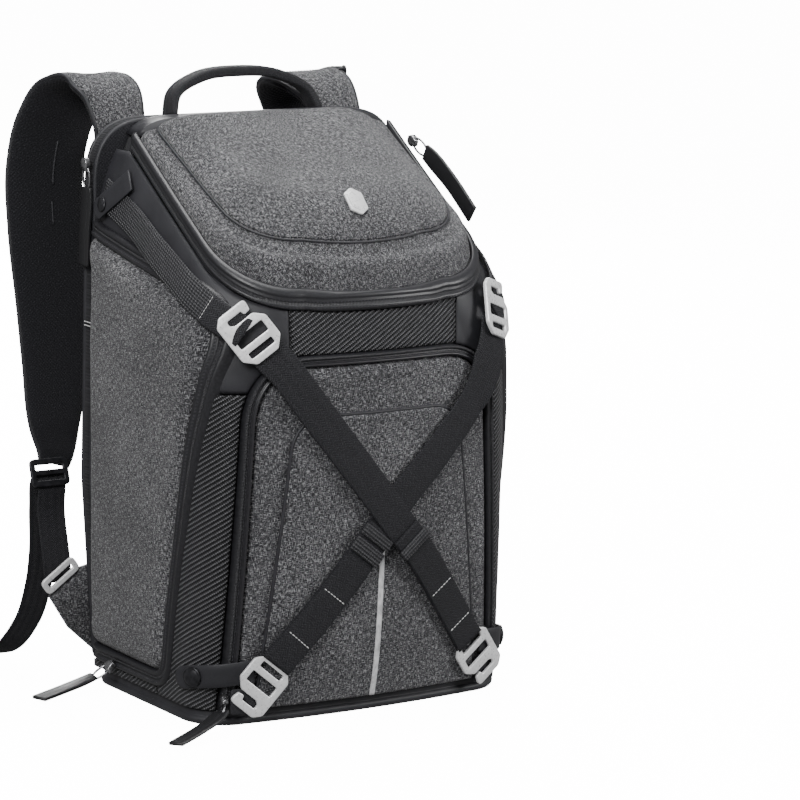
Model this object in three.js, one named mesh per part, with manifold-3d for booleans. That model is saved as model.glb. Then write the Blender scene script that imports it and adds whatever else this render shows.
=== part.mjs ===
// A camera backpack, closed and standing on its base: sewn panels, zips, webbing and metal hooks.
// Millimetres, +Z up. The front faces -Y, the harness faces +Y, the origin is the middle of the underside.
import * as THREE from "three";
import { mergeVertices } from "three/addons/utils/BufferGeometryUtils.js";
import Module from "manifold-3d";

const wasm = await Module();
wasm.setup();

// Carcass: the padded, hollow main compartment
const carcassWidth = 288;
const carcassDepth = 200;
const rimHeight = 337; // of the rim at the front, where the lid's zip runs
const rimRise = 113; // how much higher the rim stands behind than in front
const wallThickness = 8;
const floorThickness = 8;
const frontCornerRadius = 46;
const backCornerRadius = 16;
const frontBow = 8; // how far the middle of the front stands ahead of its corners
const clearance = 0.3;
const slack = 0.8; // room under a strap that crosses other pieces
const zipRelief = 1.2; // room left beside the lid's zip, whose edge climbs in straight steps

// Base tray
const baseThickness = 13;
const basePiping = 4; // how far the tray's rolled edge stands outside the carcass

// Lid
const hingeInset = 28; // how far ahead of the carcass's back the lid's hinge line lies
const lidBack = carcassDepth / 2 - hingeInset;
const lidBackRadius = 8;
const lidBackInset = 0.06; // how far the lid's back leans forward for each millimetre that its edge is inset
const hingeGussetWall = 5;
const lidCrownFront = 60; // height of the lid above the rim, near its front and at its back
const lidCrownBack = 17;
const lidShoulder = 44; // how far in from its edge the lid reaches its full height
const lidWall = 6;
const lidZipDrop = 8; // the lid's zip reaches so far below and above the rim
const lidZipRise = 7;
const lidZipBulge = 7;
const lidPanelInset = 17;
const lidPanelThickness = 2.5;

// Panels sewn on the carcass
const skinThickness = 3;
const cornerStripThickness = 4.5;
const sideDoorThickness = 8;
const sideDoorBulge = 4;
const sideZipWidth = 14;
const sideZipThickness = 7.5;
const sideDoorBackInset = 6; // the side door's edges, from the carcass's back, front and rim
const sideDoorFootInset = 73;
const sideDoorHeadInset = 14;
const sideDoorFrontDrop = 6;
const sideDoorBackRise = 34;
const sideDoorBottom = 34;
const sideDoorBack = carcassDepth / 2 - sideDoorBackInset;
const sideDoorFrontBottom = sideDoorFootInset - carcassDepth / 2;
const sideDoorFrontTop = sideDoorHeadInset - carcassDepth / 2;
const sideDoorTopFront = rimHeight - sideDoorFrontDrop;
const sideDoorTopBack = rimHeight + sideDoorBackRise;
const sideDoorFootRadius = 16;
const sideDoorHeadRadius = 42;
const sharpRadius = 1;
const frontDoorThickness = 7;
const frontDoorBulge = 4;
const frontDoorBottom = 14;
const frontDoorDrop = 51; // from the rim to the front door's head
const frontDoorTop = rimHeight - frontDoorDrop;
const frontDoorRadius = 46;
const frontDoorFootInset = 25; // the front door's edges, from the carcass's sides
const frontDoorHeadInset = 39;
const frontDoorFootWidth = carcassWidth - 2 * frontDoorFootInset;
const frontDoorHeadWidth = carcassWidth - 2 * frontDoorHeadInset;
const frontZipWidth = 9;
const frontZipThickness = 8;
const innerPanelThickness = 3;
const innerPanelDrop = 39;
const innerPanelTop = frontDoorTop - innerPanelDrop;
const innerPanelRadius = 32;
const innerPanelFootInset = 16; // the inner panel's edges, from the front door's
const innerPanelHeadInset = 30;
const innerPanelFootWidth = frontDoorFootWidth - 2 * innerPanelFootInset;
const innerPanelHeadWidth = frontDoorHeadWidth - 2 * innerPanelHeadInset;
const frontBandInset = 28;
const frontBandWidth = frontDoorHeadWidth - 2 * frontBandInset;
const yokeDrop = 19; // the smooth yoke gives way to the ribbed strip so far below the front door's head
const yokeBottom = frontDoorTop - yokeDrop;

// Reflective strip
const reflectorWidth = 5;
const reflectorShare = 0.525; // of the front door's height
const reflectorTop = reflectorShare * frontDoorTop;
const reflectorThickness = 0.8;

// Harness side
const backPanelThickness = 11;
const backPanelOverhang = 2; // how far each edge stands outside the carcass
const backPanelFootInset = 8;
const backPanelWidth = carcassWidth + 2 * backPanelOverhang;
const backPanelFoot = carcassWidth - 2 * backPanelFootInset;
const backPanelRise = 13; // how far the back panel's top stands above the rim behind
const backPanelTop = rimHeight + rimRise + backPanelRise;
const backPanelFootRadius = 10;
const backPanelSideRadius = 200;
const backPanelHeadRadius = 48;
const backPanelTaper = 4; // how much narrower each side is at the top than in the middle
const padThickness = 9;
const padGap = 34;
const padMargin = 37; // from each pad to the back panel's edge
const padWidth = (backPanelWidth - padGap) / 2 - padMargin;
const padBottom = 60;
const padDrop = 53;
const padTop = backPanelTop - padDrop;

// Shoulder straps and their webbing
const strapThickness = 12;
const webbingWidth = 25;
const webbingThickness = 1.8;
const wingThickness = 5;
const strapRootDrop = 33; // from the back panel's top down to where the straps are sewn on
const strapEndShare = 0.8; // how thick the pad's end is, as a share of the pad
const ringBar = 3;
const ringWidth = 34;
const ringHeight = 12;
const ringPlace = { out: 22.2, height: 0.502 }; // outside the carcass, and as a share of the strap foot
const ringSlope = 0.72; // of the wing's edge, along which the ring lies
const buckleWidth = 33;
const buckleHeight = 22;
const buckleSlot = 6;
const buckleBar = 4.4; // from the buckle's middle to the middle of each slot
const buckleLean = 0.35;
const buckleOffset = { out: 9, ahead: 7, below: 5 }; // from the strap's foot

// Haul handle
const handleSpan = 140;
const handleRise = 34;
const handleHalf = 8.5; // half its breadth
const handleLean = 13;
const handleThickness = 8;

// Cross straps and hooks
const crossStrapWidth = 28;
const crossStrapThickness = 2;
const hookThickness = 3;
const hookWidth = 36;
const hookLength = 46;
const loopSize = 20;
const loopHeight = 22; // of a loop's middle

// Ribbed webbing, tabs and fastenings
const ribbedWidth = 25;
const ribbedThickness = 2.2;
const tabWidth = 17;
const tabThickness = 2;
const domeRadius = 8.5;
const keeperSnapRadius = 6;
const lowerPullInset = 44; // from the side door's back edge

// Badge
const badgeLength = 26;
const badgeBreadth = 15;
const badgeThickness = 2;
const badgeInset = 26; // from the front of the carcass

const material = (colour, roughness, metalness = 0) =>
  new THREE.MeshStandardMaterial({ color: colour, roughness, metalness });
const heather = material(0x5a5a5e, 0.95);
const smoothBlack = material(0x2b2b2f, 0.55);
const ribbedBlack = material(0x333338, 0.5);
const zipBlack = material(0x1f1f23, 0.35);
const webbingBlack = material(0x26262a, 0.8);
const meshBlack = material(0x222225, 0.95);
const silver = material(0xc8c8cc, 0.3, 1);
const reflective = material(0xe6e6ea, 0.4);

// Solids

function solidFrom(geometry) {
  const bare = geometry.clone();
  bare.deleteAttribute("normal");
  bare.deleteAttribute("uv");
  const merged = mergeVertices(bare, 1e-4);
  return new wasm.Manifold(
    new wasm.Mesh({
      numProp: 3,
      vertProperties: new Float32Array(merged.attributes.position.array),
      triVerts: new Uint32Array(merged.index.array),
    }),
  );
}

function geometryFrom(solid) {
  const mesh = solid.getMesh();
  const positions = new Float32Array(mesh.numVert * 3);
  for (let i = 0; i < mesh.numVert; i++) {
    positions.set(mesh.vertProperties.subarray(i * mesh.numProp, i * mesh.numProp + 3), i * 3);
  }
  const geometry = new THREE.BufferGeometry();
  geometry.setAttribute("position", new THREE.BufferAttribute(positions, 3));
  geometry.setIndex(new THREE.BufferAttribute(new Uint32Array(mesh.triVerts), 1));
  return geometry;
}

const group = new THREE.Group();

function add(name, solid, finish) {
  const geometry = solid.isBufferGeometry ? solid : geometryFrom(solid);
  const mesh = new THREE.Mesh(geometry, finish);
  mesh.name = name;
  group.add(mesh);
  return mesh;
}

// A solid through rings of as many points each. Point i of a ring mirrors point n - i, so that the ends
// close as ladders.
function loft(rings) {
  const count = rings[0].length;
  const positions = rings.flat().flatMap((p) => [p.x, p.y, p.z]);
  const index = [];
  for (let r = 0; r + 1 < rings.length; r++) {
    for (let i = 0; i < count; i++) {
      const a = r * count + i;
      const b = r * count + ((i + 1) % count);
      index.push(a, b, b + count, a, b + count, a + count);
    }
  }
  const cap = (start, up) => {
    const face = (a, b, c) => index.push(start + a, start + (up ? b : c), start + (up ? c : b));
    for (let i = 0; i + 1 <= count - i - 1; i++) {
      const right = i;
      const left = (count - i) % count;
      const nextRight = i + 1;
      const nextLeft = count - i - 1;
      if (right !== left) face(right, nextRight, left);
      if (nextRight !== nextLeft) face(nextRight, nextLeft, left);
    }
  };
  cap(0, false);
  cap((rings.length - 1) * count, true);
  const geometry = new THREE.BufferGeometry();
  geometry.setAttribute("position", new THREE.Float32BufferAttribute(positions, 3));
  geometry.setIndex(index);
  return solidFrom(geometry);
}

// A polygon with rounded corners, each corner being [first coordinate, second coordinate, radius].
function roundedShape(corners) {
  const shape = new THREE.Shape();
  corners.forEach(([u, v, radius], i) => {
    const here = new THREE.Vector2(u, v);
    const before = new THREE.Vector2(...corners.at(i - 1).slice(0, 2)).sub(here);
    const after = new THREE.Vector2(...corners[(i + 1) % corners.length].slice(0, 2)).sub(here);
    const half = Math.acos(before.clone().normalize().dot(after.clone().normalize())) / 2;
    const most = 0.49 * Math.min(before.length(), after.length()) * Math.tan(half);
    const reach = Math.min(radius, most) / Math.tan(half);
    const start = here.clone().addScaledVector(before.normalize(), reach);
    const end = here.clone().addScaledVector(after.normalize(), reach);
    if (i === 0) shape.moveTo(start.x, start.y);
    else shape.lineTo(start.x, start.y);
    shape.quadraticCurveTo(u, v, end.x, end.y);
  });
  shape.closePath();
  return shape;
}

// Moves the sides of a polygon outwards by a distance, each corner keeping its place in the list.
function grown(corners, distance) {
  const turn = THREE.ShapeUtils.area(corners.map(([u, v]) => new THREE.Vector2(u, v))) > 0 ? 1 : -1;
  const normal = (a, b) => new THREE.Vector2(b[1] - a[1], a[0] - b[0]).normalize().multiplyScalar(turn);
  return corners.map((corner, i) => {
    const first = normal(corners.at(i - 1), corner);
    const second = normal(corner, corners[(i + 1) % corners.length]);
    const mitre = first.clone().add(second).divideScalar(1 + first.dot(second));
    return [corner[0] + mitre.x * distance, corner[1] + mitre.y * distance, corner[2] + distance];
  });
}

const farOut = 4 * (carcassWidth + carcassDepth + rimHeight);
const cornerDivisions = 4;

// A shape drawn in y and z, run along x.
function prismX(shape, from, to, curveSegments = cornerDivisions) {
  const geometry = new THREE.ExtrudeGeometry(shape, { depth: to - from, bevelEnabled: false, curveSegments });
  geometry.rotateY(Math.PI / 2).rotateX(Math.PI / 2).translate(from, 0, 0);
  return solidFrom(geometry);
}

// A shape drawn in x and z, run along y.
function prismY(shape, from, to, curveSegments = cornerDivisions) {
  const geometry = new THREE.ExtrudeGeometry(shape, { depth: to - from, bevelEnabled: false, curveSegments });
  geometry.rotateX(Math.PI / 2).translate(0, to, 0);
  return solidFrom(geometry);
}

// A shape drawn in x and y, run along z.
function prismZ(shape, from, to, curveSegments = cornerDivisions) {
  const geometry = new THREE.ExtrudeGeometry(shape, { depth: to - from, bevelEnabled: false, curveSegments });
  geometry.translate(0, 0, from);
  return solidFrom(geometry);
}

function block(lowX, highX, lowY, highY, lowZ, highZ) {
  const geometry = new THREE.BoxGeometry(highX - lowX, highY - lowY, highZ - lowZ);
  geometry.translate((lowX + highX) / 2, (lowY + highY) / 2, (lowZ + highZ) / 2);
  return solidFrom(geometry);
}

// Carcass form: sections that tilt from flat at the base to the sloping rim.
// Each column is a share: of rimHeight, half carcassWidth, half carcassDepth (front and back),
// frontCornerRadius, frontBow and of the full bulge of the doors.
const carcassSections = [
  { height: -0.1, width: 0.97, front: 0.87, back: 0.91, radius: 0.75, bow: 0.7, swell: 0 },
  { height: 0.0, width: 0.98, front: 0.88, back: 0.92, radius: 0.75, bow: 0.8, swell: 0 },
  { height: 0.12, width: 0.995, front: 0.92, back: 0.98, radius: 0.9, bow: 1.0, swell: 0.6 },
  { height: 0.42, width: 1.0, front: 0.975, back: 1.02, radius: 1.0, bow: 1.1, swell: 1 },
  { height: 0.7, width: 1.0, front: 0.985, back: 1.02, radius: 1.0, bow: 1.1, swell: 0.9 },
  { height: 0.84, width: 0.98, front: 1.0, back: 1.01, radius: 1.08, bow: 1.1, swell: 0.5 },
  { height: 0.92, width: 0.92, front: 1.01, back: 1.0, radius: 1.15, bow: 1.1, swell: 0.2 },
  { height: 1.0, width: 0.82, front: 1.01, back: 0.98, radius: 1.2, bow: 1.1, swell: 0 },
  { height: 1.12, width: 0.72, front: 1.0, back: 0.96, radius: 1.2, bow: 1.1, swell: 0 },
];
const rampStart = -0.55 * carcassDepth;
const rampPower = 1.08; // just above 1, so that the slope steepens a little towards the back

function interpolated(table, column, at) {
  const next = Math.max(1, table.findIndex((row) => row.height >= at));
  const low = table[next - 1];
  const high = table[next];
  return low[column] + ((high[column] - low[column]) * (at - low.height)) / (high.height - low.height);
}

// How much a tilted section has risen at a depth y, from 0 in front to 1 at the lid's hinge line.
function ramp(y) {
  const along = (y - rampStart) / (lidBack - rampStart);
  return Math.min(Math.max(along, 0), 1) ** rampPower;
}

const riseAt = (height) => rimRise * Math.max(height, 0);

// Half of a plan outline, from the middle of the front round the +X side to the back.
function halfOutline({ halfWidth, front, back, frontRadius, backRadius, bow, sideBow = 0 }) {
  const frontSteps = 3;
  const frontCornerSteps = 4;
  const sideSteps = 4;
  const backCornerSteps = 2;
  const points = [];
  const straight = halfWidth - frontRadius;
  for (let i = 0; i < frontSteps; i++) {
    const share = i / frontSteps;
    points.push([straight * share, front - bow * (1 - share ** 2)]);
  }
  for (let i = 0; i <= frontCornerSteps; i++) {
    const angle = ((i / frontCornerSteps) * Math.PI) / 2;
    points.push([straight + frontRadius * Math.sin(angle), front + frontRadius * (1 - Math.cos(angle))]);
  }
  const sideStart = front + frontRadius;
  const sideEnd = back - backRadius;
  for (let i = 1; i < sideSteps; i++) {
    const share = i / sideSteps;
    points.push([halfWidth + sideBow * 4 * share * (1 - share), sideStart + (sideEnd - sideStart) * share]);
  }
  for (let i = 0; i <= backCornerSteps; i++) {
    const angle = ((i / backCornerSteps) * Math.PI) / 2;
    points.push([halfWidth - backRadius * (1 - Math.cos(angle)), sideEnd + backRadius * Math.sin(angle)]);
  }
  return points;
}

// A whole ring from half an outline, with the height of each point worked out from its place.
function ring(half, heightAt) {
  const right = half.map(([x, y]) => new THREE.Vector3(x, y, heightAt(x, y)));
  const left = right.slice(1).reverse().map((p) => new THREE.Vector3(-p.x, p.y, p.z));
  return [...right, ...left];
}

function carcassOutline(height, grow, { frontBulge = 0, sideBulge = 0 } = {}) {
  const share = (column) => interpolated(carcassSections, column, height);
  return {
    halfWidth: (share("width") * carcassWidth) / 2 + grow,
    front: (-share("front") * carcassDepth) / 2 - grow,
    back: (share("back") * carcassDepth) / 2 + grow,
    frontRadius: Math.max(share("radius") * frontCornerRadius + grow, 2),
    backRadius: Math.max(backCornerRadius + grow, 2),
    bow: share("bow") * frontBow + share("swell") * frontBulge,
    sideBow: share("swell") * sideBulge,
  };
}

// The carcass's outer form grown by a distance, its front and sides swelling by the bulges given.
function carcass(grow, bulges) {
  return loft(
    carcassSections.map(({ height }) => {
      const half = halfOutline(carcassOutline(height, grow, bulges));
      return ring(half, (x, y) => height * rimHeight + riseAt(height) * ramp(y));
    }),
  );
}

// The space between two tilted levels, each a share of the rim's height and an offset above it.
function slab(lowShare, lowOffset, highShare, highOffset) {
  const steps = 6;
  const start = -2 * carcassDepth;
  const depths = [start, rampStart];
  for (let i = 1; i <= steps; i++) depths.push(rampStart + ((lidBack - rampStart) * i) / steps);
  depths.push(-start);
  const level = (share, offset) => (y) => share * rimHeight + riseAt(share) * ramp(y) + offset;
  const low = level(lowShare, lowOffset);
  const high = level(highShare, highOffset);
  const shape = new THREE.Shape([
    ...depths.map((y) => new THREE.Vector2(y, low(y))),
    ...depths.toReversed().map((y) => new THREE.Vector2(y, high(y))),
  ]);
  return prismX(shape, -farOut, farOut);
}

const form = carcass(0);
const formClear = carcass(clearance);
const carcassFoot = baseThickness + clearance;

// Panel outlines: the side doors in y and z, the front door in x and z
const sideDoorCorners = [
  [sideDoorBack, sideDoorBottom, sharpRadius],
  [sideDoorFrontBottom, sideDoorBottom, sideDoorFootRadius],
  [sideDoorFrontTop, sideDoorTopFront, sideDoorHeadRadius],
  [sideDoorBack, sideDoorTopBack, sharpRadius],
];
const doorOutline = (foot, head, bottom, top, radius) => [
  [foot / 2, bottom, sharpRadius],
  [head / 2, top, radius],
  [-head / 2, top, radius],
  [-foot / 2, bottom, sharpRadius],
];
const doorEdges = [frontDoorFootWidth, frontDoorHeadWidth, frontDoorBottom, frontDoorTop];
const panelEdges = [innerPanelFootWidth, innerPanelHeadWidth, frontDoorBottom, innerPanelTop];
const frontDoorCorners = doorOutline(...doorEdges, frontDoorRadius);
const innerPanelCorners = doorOutline(...panelEdges, innerPanelRadius);

const behindHinge = (grow) => block(-farOut, farOut, sideDoorBack + grow, farOut, -farOut, farOut);
const sidePrism = (side, grow) => {
  const shape = roundedShape(grown(sideDoorCorners, grow));
  const inner = carcassWidth / 3;
  const whole = side > 0 ? prismX(shape, inner, farOut) : prismX(shape, -farOut, -inner);
  return grow > 0 ? whole.subtract(behindHinge(0)) : whole;
};
const frontPrism = (corners, grow) => {
  const whole = prismY(roundedShape(grown(corners, grow)), -farOut, 0);
  return grow > 0 ? whole.subtract(block(-farOut, farOut, -farOut, farOut, -farOut, frontDoorBottom)) : whole;
};

// Base tray with a rolled edge
const trayRows = [
  { inset: 2.5, up: 0 },
  { inset: 0, up: 0.3 },
  { inset: 0, up: 0.7 },
  { inset: 2.5, up: 1 },
];
add(
  "base_tray",
  loft(
    trayRows.map(({ inset, up }) =>
      ring(halfOutline(carcassOutline(0, basePiping - inset)), () => up * baseThickness),
    ),
  ),
  smoothBlack,
);

// Carcass shell, open at its sloping mouth
const cavity = carcass(-wallThickness).intersect(slab(0, carcassFoot + floorThickness, 1, farOut));
add("carcass_shell", form.intersect(slab(0, carcassFoot, 1, 0)).subtract(cavity), meshBlack);

// Lid form. Each row gives how far in from the edge it lies, as a share of lidShoulder, and its share of
// the crown.
const lidRows = [
  { inset: 0.02, up: 0.13 },
  { inset: 0.27, up: 0.48 },
  { inset: 0.5, up: 0.7 },
  { inset: 0.85, up: 0.93 },
  { inset: 1.5, up: 1.02 },
];
function lidOutline(inset, backEdge = lidBack) {
  const rim = carcassOutline(1, 0);
  return {
    ...rim,
    halfWidth: rim.halfWidth - inset,
    front: rim.front + inset,
    back: backEdge - inset * lidBackInset,
    frontRadius: Math.max(rim.frontRadius - inset * 0.6, 8),
    backRadius: lidBackRadius,
  };
}

const rimLevel = (y) => rimHeight + rimRise * ramp(y);
const rimFront = -carcassDepth / 2;

function lidCrown(y) {
  const along = Math.min(Math.max((y - rimFront) / (lidBack - rimFront), 0), 1);
  return lidCrownFront + (lidCrownBack - lidCrownFront) * along;
}

function lidForm(grow, raise, backEdge) {
  const rings = [ring(halfOutline(lidOutline(-grow, backEdge)), (x, y) => rimLevel(y) - 2 * lidZipDrop)];
  for (const { inset, up } of lidRows) {
    const outline = lidOutline(inset * lidShoulder - grow, backEdge);
    rings.push(ring(halfOutline(outline), (x, y) => rimLevel(y) + lidCrown(y) * up + raise));
  }
  return loft(rings);
}

const lidHollow = lidForm(-lidWall, -lidWall);
const lidSolid = lidForm(0, 0);
add("lid_shell", lidSolid.intersect(slab(1, clearance, 1, farOut)).subtract(lidHollow), heather);

// Hinge gusset: the strip of cloth from the lid's back edge over to the back panel
const gussetEdge = sideDoorBack + lidShoulder * lidBackInset * lidRows.at(-1).inset;
add(
  "hinge_gusset",
  lidForm(0, 0, gussetEdge)
    .intersect(slab(1, clearance, 1, farOut))
    .subtract(lidForm(-hingeGussetWall, -hingeGussetWall, 2 * gussetEdge))
    .intersect(block(-farOut, farOut, lidBack + clearance, sideDoorBack, -farOut, farOut)),
  smoothBlack,
);

const planShape = (outline) =>
  new THREE.Shape(ring(halfOutline(outline), () => 0).map((p) => new THREE.Vector2(p.x, p.y)));
add(
  "lid_panel",
  lidForm(0, clearance + lidPanelThickness)
    .subtract(lidForm(0, clearance))
    .intersect(prismZ(planShape(lidOutline(lidPanelInset)), rimHeight, farOut)),
  heather,
);

// Lid zip: a rolled band round the front and sides of the rim. Each row is a share of its bulge and of
// its reach.
const lidZipRows = [
  { bulge: 0.7, up: -1 },
  { bulge: 1, up: -0.5 },
  { bulge: 0.9, up: 0.5 },
  { bulge: 0.35, up: 1 },
];
const lidZipWhole = loft(
  lidZipRows.map(({ bulge, up }) =>
    ring(
      halfOutline({ ...lidOutline(-bulge * lidZipBulge), back: lidBack + lidBackRadius }),
      (x, y) => rimLevel(y) + up * (up < 0 ? lidZipDrop : lidZipRise),
    ),
  ),
);
const behindLid = block(-farOut, farOut, lidBack, farOut, -farOut, farOut);
const lidZipBody = lidZipWhole.subtract(formClear).subtract(lidForm(clearance, clearance));
add("lid_zip", lidZipBody.subtract(behindLid), zipBlack);

// Side doors with the zip that runs over, in front of and under each
const belowLidZip = slab(0, carcassFoot, 1, -lidZipDrop - zipRelief);
const sideDoorBody = carcass(sideDoorThickness, { sideBulge: sideDoorBulge }).subtract(formClear);
const sideZipLayer = carcass(sideZipThickness).subtract(formClear);
for (const side of [-1, 1]) {
  const label = side < 0 ? "left" : "right";
  const zipRegion = sidePrism(side, sideZipWidth).subtract(sidePrism(side, clearance));
  add(`side_door_${label}`, sideDoorBody.intersect(sidePrism(side, 0)), heather);
  add(`side_zip_${label}`, sideZipLayer.intersect(zipRegion).intersect(belowLidZip), zipBlack);
}

// Front door, its zip, the inner panel sewn on it and the reflective strip down its middle
const frontRange = slab(0, frontDoorBottom, 1, -lidZipDrop - zipRelief);
const frontDoorBody = carcass(frontDoorThickness, { frontBulge: frontDoorBulge });
add(
  "front_door",
  frontDoorBody.subtract(formClear).intersect(frontPrism(frontDoorCorners, 0)).intersect(frontRange),
  heather,
);
const frontZipOuter = frontPrism(frontDoorCorners, frontZipWidth);
const frontZipRegion = frontZipOuter.subtract(frontPrism(frontDoorCorners, clearance));
add("front_zip", carcass(frontZipThickness).subtract(formClear).intersect(frontZipRegion), zipBlack);
const frontLayer = (low, high) =>
  carcass(frontDoorThickness + high, { frontBulge: frontDoorBulge }).subtract(
    carcass(frontDoorThickness + low, { frontBulge: frontDoorBulge }),
  );
const innerPanelOuter = clearance + innerPanelThickness;
add(
  "front_inner_panel",
  frontLayer(clearance, innerPanelOuter).intersect(frontPrism(innerPanelCorners, 0)).intersect(frontRange),
  heather,
);
const reflectorOutline = doorOutline(reflectorWidth, reflectorWidth, frontDoorBottom + 1, reflectorTop, 1);
add(
  "reflective_strip",
  frontLayer(innerPanelOuter + clearance, innerPanelOuter + clearance + reflectorThickness)
    .intersect(frontPrism(reflectorOutline, 0))
    .intersect(frontRange),
  reflective,
);

// What lies between the doors: ribbed corner strips below, the smooth yoke above, and the ribbed band
// under the lid
const frontCut = frontPrism(frontDoorCorners, frontZipWidth + clearance);
const behindPanel = block(-farOut, farOut, sideDoorBack, farOut, -farOut, farOut);
const between = (thickness) =>
  carcass(thickness)
    .subtract(formClear)
    .intersect(belowLidZip)
    .subtract(frontCut)
    .subtract(sidePrism(-1, sideZipWidth + clearance))
    .subtract(sidePrism(1, sideZipWidth + clearance))
    .subtract(behindPanel);
const skin = between(skinThickness);
const aboveYokeLine = block(-farOut, farOut, -farOut, farOut, yokeBottom, farOut);
const belowYokeLine = block(-farOut, farOut, -farOut, farOut, -farOut, yokeBottom - clearance);
const lowerCorners = between(cornerStripThickness).intersect(belowYokeLine);
const halves = {
  left: block(-farOut, 0, -farOut, farOut, -farOut, farOut),
  right: block(0, farOut, -farOut, farOut, -farOut, farOut),
};
const bandHalf = frontBandWidth / 2;
const largest = (solid) => solid.decompose().sort((a, b) => b.volume() - a.volume())[0];
const besideBand = block(-bandHalf - clearance, bandHalf + clearance, -farOut, 0, -farOut, farOut);
for (const [label, half] of Object.entries(halves)) {
  add(`corner_strip_${label}`, largest(lowerCorners.intersect(half)), ribbedBlack);
  const yoke = skin.intersect(aboveYokeLine).intersect(half).subtract(besideBand);
  add(`yoke_${label}`, largest(yoke), smoothBlack);
}
const bandBlock = block(-bandHalf, bandHalf, -farOut, 0, frontDoorTop, farOut);
add("front_band", largest(skin.intersect(bandBlock)), ribbedBlack);

// Back panel behind the carcass, with a padded block each side of its middle
const backFace = (carcassDepth / 2) * 1.02 + backPanelThickness;
const backPanelCorners = [
  [backPanelFoot / 2, carcassFoot, backPanelFootRadius],
  [backPanelWidth / 2, rimHeight / 2, backPanelSideRadius],
  [backPanelWidth / 2 - backPanelTaper, backPanelTop, backPanelHeadRadius],
];
const mirrored = (corners) => corners.toReversed().map(([u, v, radius]) => [-u, v, radius]);
const backPanelShape = roundedShape([...backPanelCorners, ...mirrored(backPanelCorners)]);
add(
  "back_panel",
  prismY(backPanelShape, sideDoorBack + clearance, backFace).subtract(formClear),
  meshBlack,
);

for (const side of [-1, 1]) {
  const label = side < 0 ? "left" : "right";
  const inner = side * (padGap / 2);
  const outer = side * (padGap / 2 + padWidth);
  const pad = roundedShape([
    [inner, padBottom, 12],
    [outer, padBottom, 20],
    [outer, padTop, 30],
    [inner, padTop, 12],
  ]);
  const reach = backFace + clearance;
  add(`back_pad_${label}`, prismY(pad, reach, reach + padThickness, 3), meshBlack);
}

// A band through stations. Each gives its middle, half its breadth as a vector, and half its thickness as a
// vector. The outline of its cross-section is a list of shares of the two.
const flatSection = [
  [-1, -1],
  [1, -1],
  [1, 1],
  [-1, 1],
];
const paddedSection = [
  [-0.84, -1],
  [0.84, -1],
  [1, -0.4],
  [1, 0.4],
  [0.84, 1],
  [-0.84, 1],
  [-1, 0.4],
  [-1, -0.4],
];

function band(stations, section = flatSection) {
  const place = ({ at, across, lift }) =>
    section.map(([u, v]) => at.clone().addScaledVector(across, u).addScaledVector(lift, v));
  const along = stations[1].at.clone().sub(stations[0].at);
  const facing = stations[0].across.clone().cross(stations[0].lift).dot(along);
  const rings = stations.map(place);
  return loft(facing > 0 ? rings : rings.map((points) => points.toReversed()));
}

const point = (x, y, z) => new THREE.Vector3(x, y, z);

// Stations along a smooth curve. Each row is x, y, z, half breadth, half thickness; the breadth lies as
// near as it can along the direction given.
function sweep(rows, steps, breadthAlong) {
  const points = rows.map(([x, y, z]) => point(x, y, z));
  const curve = new THREE.CatmullRomCurve3(points, false, "centripetal");
  return Array.from({ length: steps + 1 }, (_, i) => {
    const t = i / steps;
    const place = t * (rows.length - 1);
    const low = Math.min(Math.floor(place), rows.length - 2);
    const blend = (column) => THREE.MathUtils.lerp(rows[low][column], rows[low + 1][column], place - low);
    const along = curve.getTangent(t);
    const lift = along.clone().cross(breadthAlong).normalize();
    const across = lift.clone().cross(along).normalize();
    return {
      at: curve.getPoint(t),
      across: across.multiplyScalar(blend(3)),
      lift: lift.multiplyScalar(blend(4)),
    };
  });
}

const sideways = new THREE.Vector3(1, 0, 0);
const mirrorX = (rows, side) => rows.map(([x, ...others]) => [x * -side, ...others]);

// Shoulder straps: sewn on the back panel under its top edge, over in an arch and down behind the bag.
// Each row: how far outside the carcass, behind the root and above it, and half its breadth.
// The right strap leans towards the middle where it arches over.
const strapHalf = strapThickness / 2;
const strapStart = backFace + strapHalf + 2 * clearance;
const strapRoot = backPanelTop - strapRootDrop;
const leftStrapTable = [
  { out: -36, back: 0, up: 0, half: 20 },
  { out: -35, back: 1, up: 32, half: 23 },
  { out: -32, back: 11, up: 54, half: 27 },
  { out: -26, back: 28, up: 61, half: 31 },
  { out: -16, back: 44, up: 51, half: 33 },
  { out: -5, back: 53, up: 27, half: 34 },
  { out: 3, back: 56, up: -10, half: 34 },
  { out: 4, back: 52, up: -60, half: 34 },
  { out: 2, back: 46, up: -120, half: 32 },
  { out: 3, back: 40, up: -175, half: 28 },
  { out: 6, back: 34, up: -220, half: 23 },
  { out: 7, back: 30, up: -246, half: 16 },
];
const rightStrapTable = [
  { out: -43, back: 0, up: 0, half: 20 },
  { out: -44, back: 2, up: 30, half: 22 },
  { out: -51, back: 12, up: 49, half: 29 },
  { out: -60, back: 28, up: 56, half: 38 },
  { out: -51, back: 44, up: 46, half: 38 },
  { out: -36, back: 53, up: 24, half: 36 },
  { out: -20, back: 56, up: -10, half: 34 },
  { out: -8, back: 52, up: -60, half: 34 },
  { out: -2, back: 46, up: -120, half: 32 },
  { out: 2, back: 40, up: -175, half: 28 },
  { out: 6, back: 34, up: -220, half: 23 },
  { out: 7, back: 30, up: -246, half: 16 },
];
const carcassHalf = carcassWidth / 2;
const strapFoot = { x: carcassHalf + 10, y: strapStart + 27, z: strapRoot - 256 };
const strapPath = (table, side) => {
  const path = table.map(({ out, back, up, half }) => [
    side * (carcassHalf + out),
    strapStart + back,
    strapRoot + up,
    half,
    strapHalf,
  ]);
  path.at(-1)[4] = strapHalf * strapEndShare;
  return [...path, [side * strapFoot.x, strapFoot.y, strapFoot.z, webbingWidth / 2, webbingThickness]];
};
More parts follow.
